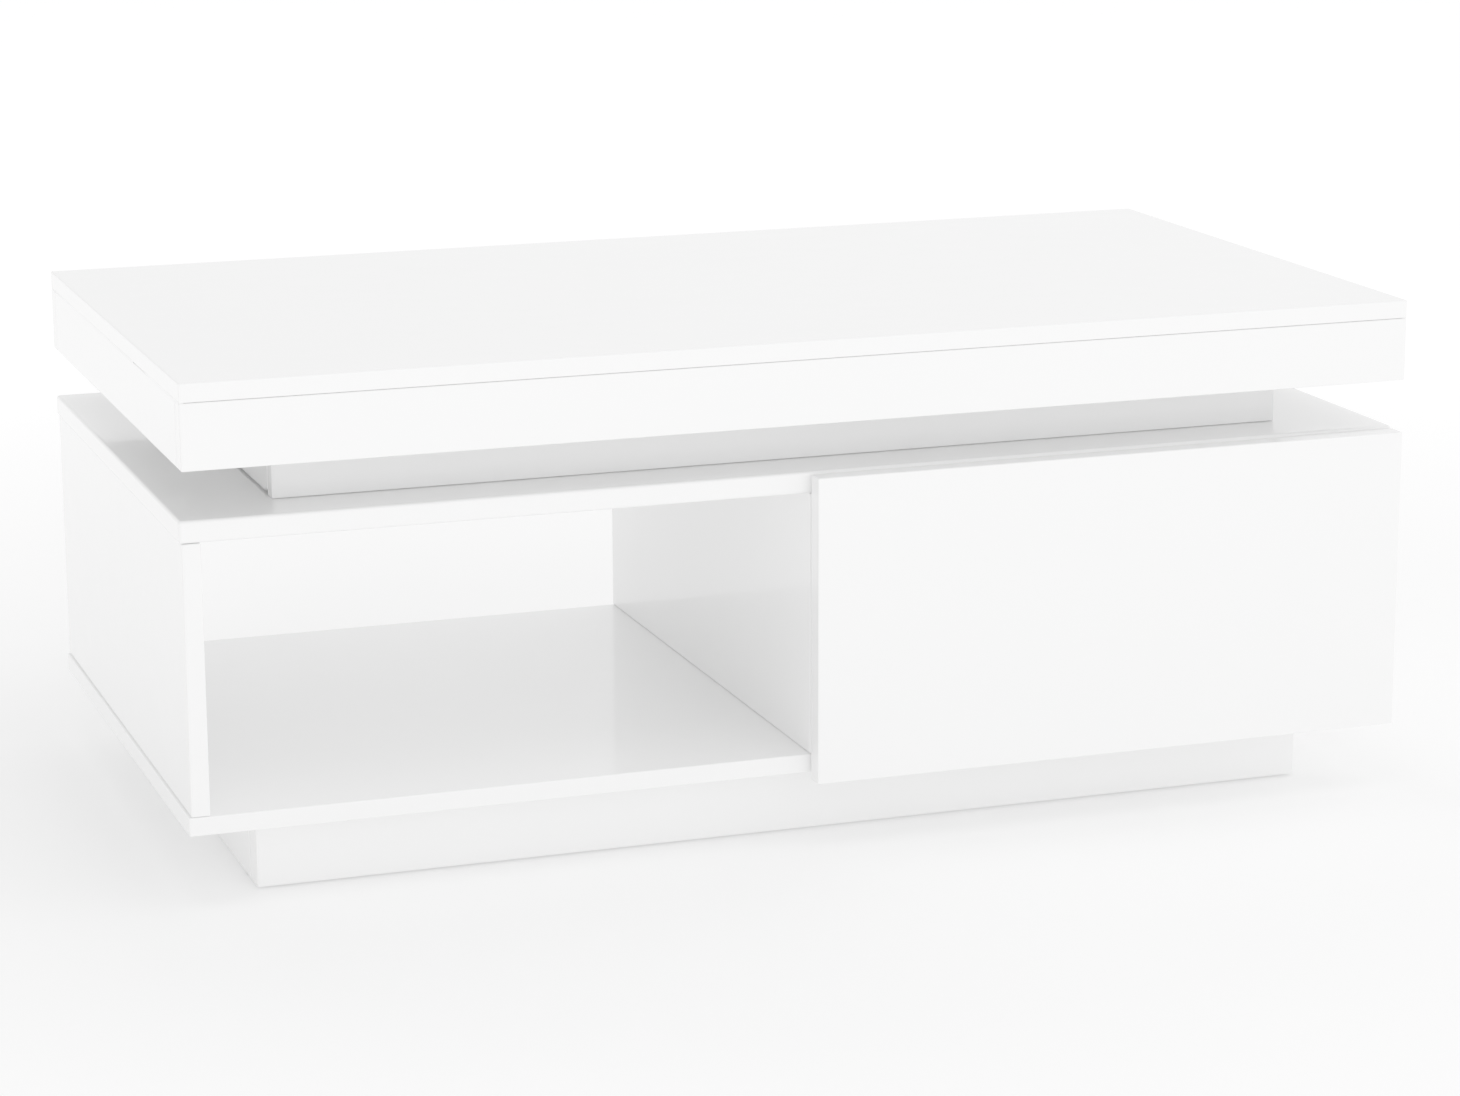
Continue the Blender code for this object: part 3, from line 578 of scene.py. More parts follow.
def add_heads(name, body, *rows, slot="zinc_steel"):
    """A piece of fastener heads. Each row holds a kind, the places, and the way they all face."""
    parts = []
    for kind, places, direction in rows:
        parts += [(HEADS[kind], facing(at, direction)) for at in places]
    add_piece(name, gather(parts), slot, body)


# A pressed angle bracket: legs along +X and +Z, its corner at the origin
ANGLE_LEG = 0.019
ANGLE_WIDTH = 0.016
ANGLE_STEEL = 0.0015
ANGLE_BEND = 0.0028
ANGLE_SCREW = 0.62  # share of a leg's length


def angle_bracket(at, first, second):
    """A bent bracket whose legs lie along two directions, with a screw in each."""
    half = ANGLE_STEEL / 2
    bend = [Vector((ANGLE_LEG, half))]
    bend += arc((ANGLE_BEND, ANGLE_BEND), ANGLE_BEND - half, 270, 180, 6)
    bend.append(Vector((half, ANGLE_LEG)))
    section = strip_outline(bend, ANGLE_STEEL)
    shape = plate("Y", section, -ANGLE_WIDTH / 2, ANGLE_WIDTH / 2, rounding=0.0003)
    first, second = Vector(first), Vector(second)
    across = second.cross(first)
    turn = Matrix((first, across, second)).transposed().to_4x4()
    at = Vector(at)
    reach = ANGLE_LEG * ANGLE_SCREW
    return [
        (shape, Matrix.Translation(at) @ turn),
        (HEADS["pan"], facing(at + first * reach + second * ANGLE_STEEL, second)),
        (HEADS["pan"], facing(at + second * reach + first * ANGLE_STEEL, first)),
    ]


# ---- lift mechanism


def dome(height, radius):
    """(rise, radius) pairs up a domed head, to just short of its tip."""
    turns = [math.radians(degrees) for degrees in range(0, 81, 10)]
    return [(height * math.sin(turn), radius * math.cos(turn)) for turn in turns]


PLATE_END = PLATE_START + STEEL
TOP_PLATE_END = TOP_PLATE_START + STEEL


def pin_bores(*pivots):
    return [circle(pivot.yz, PIN_RADIUS + PIN_PLAY) for pivot in pivots]


def depths(sign, start, end):
    """World X of a layer's two faces, lower first."""
    return sorted((sign * (WALL_INNER - start), sign * (WALL_INNER - end)))


BASE_PLATE_ROUND = 0.008
BASE_SCREW_BORE = 0.0047
SCREW_PROUD = 0.0002
LIP_INNER_BEND = 0.0004
LIP_OVERLAP = 0.001


def make_base_plate(side, sign):
    """The fixed plate: four flush screws, two pin bores and a bent lip under the arm."""
    node = f"{side}_base_bracket"
    bottom, top = low(node), high(node)
    lip_top = bottom.z + STEEL
    outline = rounded_rectangle((bottom.y, lip_top), (top.y, top.z), BASE_PLATE_ROUND)
    # Screws sit near the corners, clear of the pins.
    screws = [
        (bottom.y + 0.008, lip_top + 0.008),
        (bottom.y + 0.036, lip_top + 0.012),
        (MAIN_PIVOT.y - 0.018, top.z - 0.009),
        (top.y - 0.010, top.z - 0.010),
    ]
    bores = pin_bores(MAIN_PIVOT, FOLLOWER_PIVOT)
    bores += [circle(at, BASE_SCREW_BORE, 24) for at in screws]
    faces = depths(sign, PLATE_START, PLATE_END)
    parts = [(plate("X", outline, *faces, bores), HERE)]
    # The lip's section is in distance from the wall and height, bent round a quarter turn.
    inner = LIP_INNER_BEND
    bend = arc((PLATE_START + STEEL + inner, lip_top + inner), STEEL + inner, 180, 270, 8)
    section = [Vector((PLATE_START, lip_top + LIP_OVERLAP))] + bend
    section += [Vector((ARM_END, bottom.z)), Vector((ARM_END, lip_top))]
    section += arc((PLATE_END + inner, lip_top + inner), inner, 270, 180, 4)
    section.append(Vector((PLATE_END, lip_top + LIP_OVERLAP)))
    section = [Vector((sign * (WALL_INNER - point.x), point.y)) for point in section]
    ends = (bottom.y + BASE_PLATE_ROUND, top.y - BASE_PLATE_ROUND)
    parts.append((plate("Y", section, *ends, rounding=0.0003), HERE))
    add_piece(f"{side}_base_plate", gather(parts), "zinc_steel", "root", node)
    x = sign * (WALL_INNER - PLATE_END + SCREW_PROUD)
    row = ("flat", [(x, *at) for at in screws], (-sign, 0, 0))
    add_heads(f"{side}_base_plate_screws", "root", row)


GROOVE_FROM_PIVOT = Vector((0.026, 0.0))
GROOVE_STEPS = ((0.52, 0.0004), (0.44, 0.0008))  # share of the arm's half width, and depth
GROOVE_CUTTER = 0.002
ARM_ROUND = 0.0009


def make_arm(node, sign, near, far, body):
    """A pressed bar with rolled edges, two bores and a long pressed groove on its inner face."""
    radius = (high(node).z - low(node).z) / 2
    outline = bar_outline(near.yz, far.yz, radius, 18)
    groove_ends = (near.yz + GROOVE_FROM_PIVOT, far.yz - GROOVE_FROM_PIVOT)
    faces = depths(sign, ARM_START, ARM_END)
    bar = to_mesh(plate("X", outline, *faces, pin_bores(near, far), ARM_ROUND))
    inner_x = sign * (WALL_INNER - ARM_END)
    # Two shallow steps make the groove's sloping wall.
    for share, depth in GROOVE_STEPS:
        groove = bar_outline(*groove_ends, radius * share, 10)
        bottom, top = sorted((inner_x + sign * depth, inner_x - sign * GROOVE_CUTTER))
        bar = carve(bar, to_mesh(plate("X", groove, bottom, top, rounding=0.0003)))
    add_piece(f"{node}_pressed", gather([(bar, HERE)]), "zinc_steel", body, node)


BASE_HEAD = 0.0026  # thickness of a base pin's head
TOP_HEAD = 0.0022
HEAD_EDGE = 0.0008  # straight edge under a base pin's dome
PIN_CHAMFER = 0.0006


def base_pin_profile(pin_end):
    """A pin riveted in the base plate, with a domed head at its free end."""
    shaft_end = pin_end - BASE_HEAD
    points = [(PLATE_START + PIN_PLAY, 0.0), (PLATE_START + PIN_PLAY, PIN_RADIUS - PIN_CHAMFER)]
    points += [(PLATE_START + HEAD_EDGE, PIN_RADIUS), (shaft_end, PIN_RADIUS)]
    points += [(shaft_end, HEAD_RADIUS - HEAD_EDGE / 2), (shaft_end + HEAD_EDGE / 2, HEAD_RADIUS)]
    crown = dome(BASE_HEAD - HEAD_EDGE, HEAD_RADIUS)
    points += [(shaft_end + HEAD_EDGE + rise, radius) for rise, radius in crown]
    points.append((pin_end, 0.0))
    return points


def top_pin_profile():
    """A rivet through arm and top plate, with a shoulder between and a domed head on each end."""
    outer = ARM_START - PIN_PLAY
    inner = TOP_PLATE_END + PIN_PLAY
    crown = dome(TOP_HEAD, HEAD_RADIUS)
    points = [(outer - TOP_HEAD, 0.0)]
    points += [(outer - rise, radius) for rise, radius in reversed(crown)]
    points += [(outer, PIN_RADIUS), (ARM_END + PIN_PLAY, PIN_RADIUS)]
    points += [(ARM_END + PIN_PLAY, HEAD_RADIUS), (TOP_PLATE_START - PIN_PLAY, HEAD_RADIUS)]
    points += [(TOP_PLATE_START - PIN_PLAY, PIN_RADIUS), (inner, PIN_RADIUS)]
    points += [(inner + rise, radius) for rise, radius in crown]
    points.append((inner + TOP_HEAD, 0.0))
    return points


WASHER_RADIUS = HEAD_RADIUS + 0.0005
WASHER_PLAY = 0.0001


def washer():
    """A thin moulded ring about the X axis, between the base plate and an arm."""
    rim_outline = circle((0, 0), WASHER_RADIUS, 40)
    bore = circle((0, 0), PIN_RADIUS, 32)
    return plate("X", rim_outline, PLATE_END + WASHER_PLAY, ARM_START - WASHER_PLAY, [bore], 0.0002)


def make_pins(side, sign):
    pins = (
        ("main_base", MAIN_PIVOT, base_pin_profile(MAIN_PIN_END), "root"),
        ("follower_base", FOLLOWER_PIVOT, base_pin_profile(FOLLOWER_PIN_END), "root"),
        ("main_top", TOP_PIVOT, top_pin_profile(), "top"),
        ("follower_top", TOP_FOLLOWER_PIVOT, top_pin_profile(), "top"),
    )
    for label, pivot, profile, body in pins:
        node = f"{side}_{label}_pin"
        pin = gather([(lathe(profile, 48), inward(sign, pivot.y, pivot.z))])
        add_piece(f"{side}_{label}_rivet", pin, "zinc_steel", body, node)
    # Nylon washers keep the arms off the fixed plate.
    rings = [(washer(), inward(sign, *pivot.yz)) for pivot in (MAIN_PIVOT, FOLLOWER_PIVOT)]
    add_piece(f"{side}_nylon_washers", gather(rings), "bumper_rubber", "root")


TUBE_CENTRE = middle("cross_tube")
TUBE_RADIUS = high("cross_tube").z - TUBE_CENTRE.z
TUBE_WALL = 0.0015
WELD_RADIUS = 0.0016
WELD_RIPPLE = 0.0002
WELD_RIPPLES = 24
WELD_FROM_ARM = 0.0012
WELD_PROUD = 0.0001  # middle of the bead, out from the tube


def make_cross_tube():
    """A drawn tube with a weld bead round each end."""
    ends = (low("cross_tube").x, high("cross_tube").x)
    bore = circle(TUBE_CENTRE.yz, TUBE_RADIUS - TUBE_WALL, 48)
    tube = plate("X", circle(TUBE_CENTRE.yz, TUBE_RADIUS, 64), *ends, [bore], 0.0003)
    add_piece("cross_tube_drawn", tube, "zinc_steel", "main_arms", "cross_tube")
    beads = []
    steps = WELD_RIPPLES * 3
    for _, sign in SIDES:
        bm = bmesh.new()
        rings = []
        for step in range(steps):
            turn = 2 * math.pi * step / steps
            swell = WELD_RADIUS + WELD_RIPPLE * math.sin(turn * WELD_RIPPLES)
            out = Vector((0.0, math.cos(turn), math.sin(turn)))
            ring = []
            for point in arc((0, 0), swell, -60, 240, 8):
                bead = TUBE_CENTRE + out * (TUBE_RADIUS + WELD_PROUD)
                bead.x = sign * (WALL_INNER - ARM_END - WELD_FROM_ARM)
                ring.append(bm.verts.new(bead + out * point.x + Vector((point.y * sign, 0, 0))))
            rings.append(ring)
        skin(bm, rings + rings[:1])
        beads.append((bm, HERE))
    add_piece("cross_tube_welds", gather(beads), "zinc_steel", "main_arms")


SPRING_RADIUS = 0.0070
WIRE_RADIUS = 0.00175
SPRING_TURNS = 4
SPRING_STEPS = 40  # a turn
LEG_PAST = 0.007


def spring_leg(centre, radius, side):
    """The angle where a straight leg leaves the coil, and its end past the round bar it bears on."""
    bearing = math.atan2(centre.y, centre.x)
    angle = bearing + side * math.acos((SPRING_RADIUS + radius) / centre.length)
    across = Vector((math.cos(angle), math.sin(angle)))
    leaving = SPRING_RADIUS * across
    touching = centre - radius * across
    along = (touching - leaving).normalized()
    return angle, touching + along * LEG_PAST


def make_spring(side, sign):
    """A torsion spring: its outer leg stays with the base, its inner leg lifts the arms."""
    node = f"{side}_lift_spring"
    inner_x, outer_x = sorted((low(node).x, high(node).x), key=abs)
    start_x = outer_x - sign * WIRE_RADIUS
    end_x = inner_x + sign * WIRE_RADIUS
    bearing = WIRE_RADIUS + PIN_PLAY
    held = (FOLLOWER_PIVOT - MAIN_PIVOT).yz
    pushed = (TUBE_CENTRE - MAIN_PIVOT).yz
    first, held_end = spring_leg(held, PIN_RADIUS + bearing, -1)
    last, pushing_end = spring_leg(pushed, TUBE_RADIUS + bearing, 1)
    last -= 2 * math.pi * SPRING_TURNS
    centre = Vector((0.0, MAIN_PIVOT.y, MAIN_PIVOT.z))
    steps = SPRING_STEPS * SPRING_TURNS
    coil = []
    for step in range(steps + 1):
        share = step / steps
        angle = first + (last - first) * share
        x = start_x + (end_x - start_x) * share
        across = SPRING_RADIUS * Vector((0.0, math.cos(angle), math.sin(angle)))
        coil.append(centre + across + Vector((x, 0.0, 0.0)))
    held_tip = centre + Vector((start_x, *held_end))
    pushing_tip = centre + Vector((end_x, *pushing_end))
    path = [held_tip, held_tip.lerp(coil[0], 0.5)] + coil
    path += [coil[-1].lerp(pushing_tip, 0.5), pushing_tip]
    wire = sweep(path, WIRE_RADIUS)
    spring = add_piece(f"{side}_torsion_spring", wire, "spring_steel", None, node)
    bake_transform(spring)


HANGER_AHEAD = 0.016  # hanging plate ahead of the follower's upper pivot
HANGER_ROUND = 0.010
HANGER_SLOT = (0.022, 0.018)  # slot's ends from the hanging plate's front and rear
HANGER_SLOT_DROP = 0.016
HANGER_SLOT_RADIUS = 0.0045
FLANGE_ROUND = 0.006
FLANGE_SCREWS = 5
FLANGE_SCREW_FROM_END = 0.018
FLANGE_SCREW_SHIFT = 0.002  # from the flange's middle, towards its free edge
FLANGE_SLOT_RADIUS = 0.003
FLANGE_SLOT_HALF = 0.006
FLANGE_LAP = 0.0002  # overlap between the shapes of one bent plate
GUSSET_LEG = 0.016
GUSSET_FROM_END = 0.006


def hanger_outline(front, rear, bottom, top):
    """The hanging plate: round corners below, square ones above, where it meets its bend."""
    outline = arc((front + HANGER_ROUND, bottom + HANGER_ROUND), HANGER_ROUND, 180, 270, 6)
    outline += arc((rear - HANGER_ROUND, bottom + HANGER_ROUND), HANGER_ROUND, 270, 360, 6)
    return outline + [Vector((rear, top)), Vector((front, top))]


def flange_outline(sign, front, rear, plate_front):
    """The flange against the top board. Ahead of the hanging plate it is full width."""
    near, far = WALL_INNER - TOP_PLATE_START, WALL_INNER - FLANGE_END
    notch = near - STEEL
    corner = FLANGE_ROUND
    flange = arc((far + corner, front + corner), corner, 180, 270, 6)
    flange += arc((near - corner, front + corner), corner, 270, 360, 6)
    flange.append(Vector((near, plate_front - FLANGE_LAP)))
    flange.append(Vector((notch, plate_front - FLANGE_LAP / 2)))
    flange += [Vector((notch, rear))]
    flange += arc((far + corner, rear - corner), corner, 90, 180, 6)
    return [Vector((sign * point.x, point.y)) for point in flange]


def make_top_plate(side, sign):
    """The moving bracket: a hanging plate, a rolled corner and a long flange with screws."""
    node = f"{side}_top_bracket"
    bottom, top = low(node), high(node)
    under = top.z - STEEL
    plate_front = TOP_FOLLOWER_PIVOT.y - HANGER_AHEAD
    outline = hanger_outline(plate_front, top.y, bottom.z, under + FLANGE_LAP)
    bores = pin_bores(TOP_PIVOT, TOP_FOLLOWER_PIVOT)
    slot_z = under - HANGER_SLOT_DROP
    slot_ends = ((plate_front + HANGER_SLOT[0], slot_z), (top.y - HANGER_SLOT[1], slot_z))
    bores.append(bar_outline(*slot_ends, HANGER_SLOT_RADIUS))
    faces = depths(sign, TOP_PLATE_START, TOP_PLATE_END)
    parts = [(plate("X", outline, *faces, bores), HERE)]

    # The flange's screws have a slot between each two.
    screw_x = sign * (WALL_INNER - (TOP_PLATE_START + FLANGE_END) / 2 - FLANGE_SCREW_SHIFT)
    first = bottom.y + FLANGE_SCREW_FROM_END
    pitch = (top.y - FLANGE_SCREW_FROM_END - first) / (FLANGE_SCREWS - 1)
    screws = [first + pitch * step for step in range(FLANGE_SCREWS)]
    slots = []
    for screw in screws[:-1]:
        halfway = screw + pitch / 2
        ends = ((screw_x, halfway - FLANGE_SLOT_HALF), (screw_x, halfway + FLANGE_SLOT_HALF))
        slots.append(bar_outline(*ends, FLANGE_SLOT_RADIUS))
    flange = flange_outline(sign, bottom.y, top.y, plate_front)
    parts.append((plate("Z", flange, under, top.z, slots), HERE))
    notch = WALL_INNER - TOP_PLATE_END
    quarter = arc((notch, under), STEEL, 0, 90, 8) + [Vector((notch, under))]
    quarter = [Vector((sign * point.x, point.y)) for point in quarter]
    parts.append((plate("Y", quarter, plate_front, top.y, rounding=0.0002), HERE))
    # Two gussets stiffen the corner.
    for y in (plate_front + GUSSET_FROM_END, top.y - GUSSET_FROM_END):
        gusset = [Vector((sign * notch, under)), Vector((sign * (notch - GUSSET_LEG), under))]
        gusset.append(Vector((sign * notch, under - GUSSET_LEG)))
        parts.append((plate("Y", gusset, y - STEEL / 2, y + STEEL / 2), HERE))
    add_piece(f"{side}_top_plate", gather(parts), "zinc_steel", "top", node)
    row = ("pan", [(screw_x, y, under) for y in screws], (0, 0, -1))
    add_heads(f"{side}_top_plate_screws", "top", row)


def make_lift():
    make_cross_tube()
    for side, sign in SIDES:
        make_base_plate(side, sign)
        make_arm(f"{side}_main_arm", sign, MAIN_PIVOT, TOP_PIVOT, "main_arms")
        follower = f"{side}_follower"
        make_arm(f"{follower}_arm", sign, FOLLOWER_PIVOT, TOP_FOLLOWER_PIVOT, follower)
        make_pins(side, sign)
        make_spring(side, sign)
        make_top_plate(side, sign)


# ---- joinery


WALL_BRACKETS = (-0.26, 0.0, 0.26)  # X, along the compartment's front and rear walls
SIDE_WALL_BRACKET = 0.045  # behind the front wall
BOARD_BRACKETS = (-0.36, -0.12, 0.12, 0.36)  # X, along the front and rear aprons and rails
APRON_BRACKETS = (-0.11, 0.11)  # Y, along the side aprons


def bracket_rows(columns, front_y, back_y, z, up):
    """Angle brackets behind a front board and ahead of a rear one, on the board that they meet."""
    parts = []
    for x in columns:
        parts += angle_bracket((x, front_y, z), (0, 1, 0), (0, 0, up))
        parts += angle_bracket((x, back_y, z), (0, -1, 0), (0, 0, up))
    return parts


def join_compartment():
    """Brackets from the compartment's walls to the deck."""
    floor_z = high("deck_board").z
    front_y = high("compartment_front_wall").y
    back_y = low("compartment_rear_wall").y
    parts = bracket_rows(WALL_BRACKETS, front_y, back_y, floor_z, 1)
    for _, sign in SIDES:
        at = (sign * WALL_INNER, front_y + SIDE_WALL_BRACKET, floor_z)
        parts += angle_bracket(at, (-sign, 0, 0), (0, 0, 1))
    add_piece("compartment_angle_brackets", gather(parts), "zinc_steel", "root")


# (along one apron, along the other) from the corner
BLOCK_OUTLINE = ((0.0, 0.0), (0.030, 0.0), (0.030, 0.005), (0.005, 0.030), (0.0, 0.030))
BLOCK_HEIGHT = 0.024
BLOCK_SCREW = 0.0099  # from both aprons


def join_top():
    """Brackets from the aprons to the top board, and a corner block where two aprons meet."""
    under = low("top_board").z
    front_y = high("apron_front").y
    back_y = low("apron_rear").y
    side_x = low("apron_right").x
    parts = bracket_rows(BOARD_BRACKETS, front_y, back_y, under, -1)
    for _, sign in SIDES:
        for y in APRON_BRACKETS:
            parts += angle_bracket((sign * side_x, y, under), (-sign, 0, 0), (0, 0, -1))
    add_piece("apron_angle_brackets", gather(parts), "zinc_steel", "top")

    blocks = []
    screws = []
    for _, sign in SIDES:
        for y, turn in ((front_y, 1), (back_y, -1)):
            corner = Vector((sign * side_x, y))
            ahead = Vector((-sign, 0))
            beside = Vector((0, turn))
            outline = [corner + ahead * a + beside * b for a, b in BLOCK_OUTLINE]
            block = plate("Z", outline, under - BLOCK_HEIGHT, under, rounding=0.001)
            blocks.append((block, HERE))
            screw = corner + (ahead + beside) * BLOCK_SCREW
            screws.append((screw.x, screw.y, under - BLOCK_HEIGHT))
    add_piece("apron_corner_blocks", gather(blocks), "drawer_liner", "top")
    add_heads("apron_corner_screws", "top", ("pan", screws, (0, 0, -1)))


PANEL_SCREW_INSET = 0.027
BACK_PANEL_SCREWS = (0.14, 0.40)  # X
CAM_DROP = 0.034  # below the deck
CAM_INSET = 0.040


def join_carcass():
    """Plinth brackets, screws up through the bottom board, and cams at the panels' upper ends."""
    under = low("bottom_board").z
    front_y = high("plinth_front_rail").y
    back_y = low("plinth_rear_rail").y
    parts = bracket_rows(BOARD_BRACKETS, front_y, back_y, under, -1)
    add_piece("plinth_angle_brackets", gather(parts), "zinc_steel", "root")

    front, back = low("bottom_board").y, high("bottom_board").y
    places = []
    for node in ("left_side_panel", "right_side_panel", "divider_panel"):
        rows = [front + PANEL_SCREW_INSET, back - PANEL_SCREW_INSET]
        if node != "divider_panel":
            rows.append((front + back) / 2)
        places += [(middle(node).x, y, under) for y in rows]
    places += [(x, middle("drawer_bay_back_panel").y, under) for x in BACK_PANEL_SCREWS]
    add_heads("bottom_board_screws", "root", ("confirmat", places, (0, 0, -1)))

    # The shelf bay shows the left panel's cams, so caps cover them.
    cam_z = low("deck_board").z - CAM_DROP
    left, inner, right = [
        [(x, y, cam_z) for y in (front + CAM_INSET, back - CAM_INSET)]
        for x in (high("left_side_panel").x, high("divider_panel").x, low("right_side_panel").x)
    ]
    add_heads("side_panel_cam_caps", "root", ("cap", left, (1, 0, 0)), slot="drawer_liner")
    rows = (("cam", inner, (1, 0, 0)), ("cam", right, (-1, 0, 0)))
    add_heads("drawer_bay_cams", "root", *rows)


DRAWER_CAM_INSET = 0.024  # behind the drawer sides' front ends
DRAWER_SCREW_INSET = 0.006  # ahead of their rear ends
DRAWER_ROW_INSET = 0.030  # from their upper and lower edges


def join_drawer():
    """Cams behind the drawer's front and screws into its back."""
    bottom, top = low("drawer_left_side"), high("drawer_right_side")
    heights = (bottom.z + DRAWER_ROW_INSET, top.z - DRAWER_ROW_INSET)
    cams = []
    screws = []
    for x, facing_x in ((bottom.x, -1), (top.x, 1)):
        cam_places = [(x, bottom.y + DRAWER_CAM_INSET, z) for z in heights]
        cams.append(("cam", cam_places, (facing_x, 0, 0)))
        proud_x = x + facing_x * SCREW_PROUD
        screw_places = [(proud_x, top.y - DRAWER_SCREW_INSET, z) for z in heights]
        screws.append(("flat", screw_places, (facing_x, 0, 0)))
    add_heads("drawer_front_cams", "drawer", *cams)
    add_heads("drawer_back_screws", "drawer", *screws)


SEAM_OPEN = (-0.150, -0.102)  # Y of the stretch at the left that the lacquer doesn't bridge
SEAM_FROM_END = 0.001
# (depth into the seam, half height) of the bridge's section
SEAM_SECTION = ((0.00006, 0.0009), (0.0003, 0.00055), (0.0010, 0.00015), (0.0040, 0.00014))
SEAM_ROUND = 0.00003


def make_seam_fills():
    """Lacquer that bridges the seam between the lid's board and its side aprons."""
    seam = (low("top_board").z + high("apron_left").z) / 2
    front = low("top_board").y + SEAM_FROM_END
    back = high("top_board").y - SEAM_FROM_END
    stretches = {
        "left": ((front, SEAM_OPEN[0]), (SEAM_OPEN[1], back)),
        "right": ((front, back),),
    }
    face = -low("apron_left").x
    halves = [(depth, half) for depth, half in SEAM_SECTION]
    halves += [(depth, -half) for depth, half in reversed(SEAM_SECTION)]
    for side, sign in SIDES:
        outline = [Vector((sign * (face - depth), seam + half)) for depth, half in halves]
        parts = [(plate("Y", outline, *ends, (), SEAM_ROUND), HERE) for ends in stretches[side]]
        add_piece(f"lid_{side}_seam_fill", gather(parts), "white_lacquer", "top")


# ---- drawer slides


SLIDE_STEEL = 0.0012
SLIDE_BEND = 0.0020
# (web, reach, half height, curl, lip) of each member. Distances are from the panel.
SLIDE_SECTIONS = {
    "cabinet": (0.0009, 0.0086, 0.0219, 0.0016, 0.0012),
    "middle": (0.0058, 0.0096, 0.0172, 0.0012, 0.0006),
    "drawer": (0.0121, 0.0084, 0.0128, 0.0012, 0.0004),
}
BALL_RADIUS = 0.0017
CAGE_PITCH = 0.0105
CAGE_BALLS = 12
CAGE_PAST = 0.004  # cage beyond its first and last ball
CAGE_RISE = 0.0007  # half its height
CAGE_REACH = 0.0014  # half its width
# (distance from the panel, height from the middle, first ball's share of the slide's length)
BALL_ROWS = ((0.0056, 0.01955, 0.62), (0.0088, 0.0150, 0.08))
SLIDE_SCREW_INSET = 0.028
# Distances from the panel
CABINET_SCREW_OUT = 0.0015
DRAWER_SCREW_OUT = 0.0115
STOP_DEPTHS = (0.0015, 0.0046)
STOP_LENGTH = 0.006
STOP_HEIGHT = 0.016
STOP_FROM_BACK = 0.001


def curled_section(web, reach, half_height, curl, lip):
    """A C section: a web, a rounded corner, a flange and a curled lip, top and bottom alike."""
    turn = 1 if reach > web else -1
    bend = SLIDE_BEND
    upper = [Vector((web, 0.0))]
    corner = (web + turn * bend, half_height - bend)
    upper += arc(corner, bend, 180 if turn > 0 else 0, 90, 5)
    tip = (reach - turn * curl, half_height - curl)
    upper += arc(tip, curl, 90, 0 if turn > 0 else 180, 6)
    upper.append(Vector((reach, half_height - curl - lip)))
    lower = [Vector((point.x, -point.y)) for point in reversed(upper[1:])]
    return strip_outline(lower + upper, SLIDE_STEEL)


def make_slide(side, panel_x, sign):
    """A ball-bearing slide: three rolled members, their balls in cages, screws and a stop."""
    rail = f"{side}_slide_cabinet_member"
    front, back = low(rail).y, high(rail).y
    length = back - front
    centre_z = middle(rail).z
    bodies = {"cabinet": "root", "middle": f"{side}_slide_middle", "drawer": "drawer"}

    def place(out, y, up):
        return Vector((panel_x + sign * out, y, centre_z + up))

    for member, sizes in SLIDE_SECTIONS.items():
        node = f"{side}_slide_{member}_member"
        section = curled_section(*sizes)
        outline = [Vector((panel_x + sign * p.x, centre_z + p.y)) for p in section]
        shape = plate("Y", outline, low(node).y, high(node).y, rounding=0.0002)
        add_piece(f"{side}_slide_{member}_rail", shape, "zinc_steel", bodies[member], node)

    # The outer balls run on the middle rail's rear half, the inner ones on its front half.
    balls = []
    cages = []
    for half in (-1, 1):
        for out, up, share in BALL_ROWS:
            start = front + length * share
            end = start + CAGE_PITCH * (CAGE_BALLS - 1)
            for index in range(CAGE_BALLS):
                ball = bmesh.new()
                bmesh.ops.create_uvsphere(ball, u_segments=14, v_segments=8, radius=BALL_RADIUS)
                at = place(out, start + index * CAGE_PITCH, half * up)
                balls.append((ball, Matrix.Translation(at)))
            z = centre_z + half * up
            corner = (start - CAGE_PAST, z - CAGE_RISE)
            strip = rounded_rectangle(corner, (end + CAGE_PAST, z + CAGE_RISE), 0.0006)
            faces = sorted(panel_x + sign * (out + reach) for reach in (-CAGE_REACH, CAGE_REACH))
            cages.append((plate("X", strip, *faces, rounding=0.0002), HERE))
    add_piece(f"{side}_slide_balls", gather(balls), "zinc_steel", bodies["middle"])
    add_piece(f"{side}_slide_ball_cages", gather(cages), "spring_steel", bodies["middle"])

    rows = (front + SLIDE_SCREW_INSET, front + length / 2, back - SLIDE_SCREW_INSET)
    for member, out, facing_x in (
        ("cabinet", CABINET_SCREW_OUT, sign),
        ("drawer", DRAWER_SCREW_OUT, -sign),
    ):
        row = ("euro", [place(out, y, 0.0) for y in rows], (facing_x, 0, 0))
        add_heads(f"{side}_slide_{member}_screws", bodies[member], row)

    # A soft stop at the fixed rail's rear end
    stop_back = back - STOP_FROM_BACK
    corner = (stop_back - STOP_LENGTH, centre_z - STOP_HEIGHT / 2)
    block = rounded_rectangle(corner, (stop_back, centre_z + STOP_HEIGHT / 2), 0.002)
    faces = sorted(panel_x + sign * depth for depth in STOP_DEPTHS)
    stop = plate("X", block, *faces, rounding=0.0006)
    add_piece(f"{side}_slide_stop", stop, "glide_plastic", "root")


# ---- bumpers and glides


BUMPER_EDGE = 0.25  # share of the height below the dome
BUMPER_FULLNESS = 0.6  # below 1, the dome is fuller than an ellipse
# (share of height, share of radius) along a glide's sole and its nail
SOLE_SHARES = (
    (0.0, 0.0), (0.0, 1.0), (0.45, 1.0), (0.85, 0.94),
    (1.0, 0.86), (1.0, 0.40), (0.45, 0.34), (0.45, 0.0),
)
NAIL_SHARES = ((0.0, 0.0), (0.0, 0.26), (0.6, 0.26), (0.7, 0.16), (0.72, 0.0))


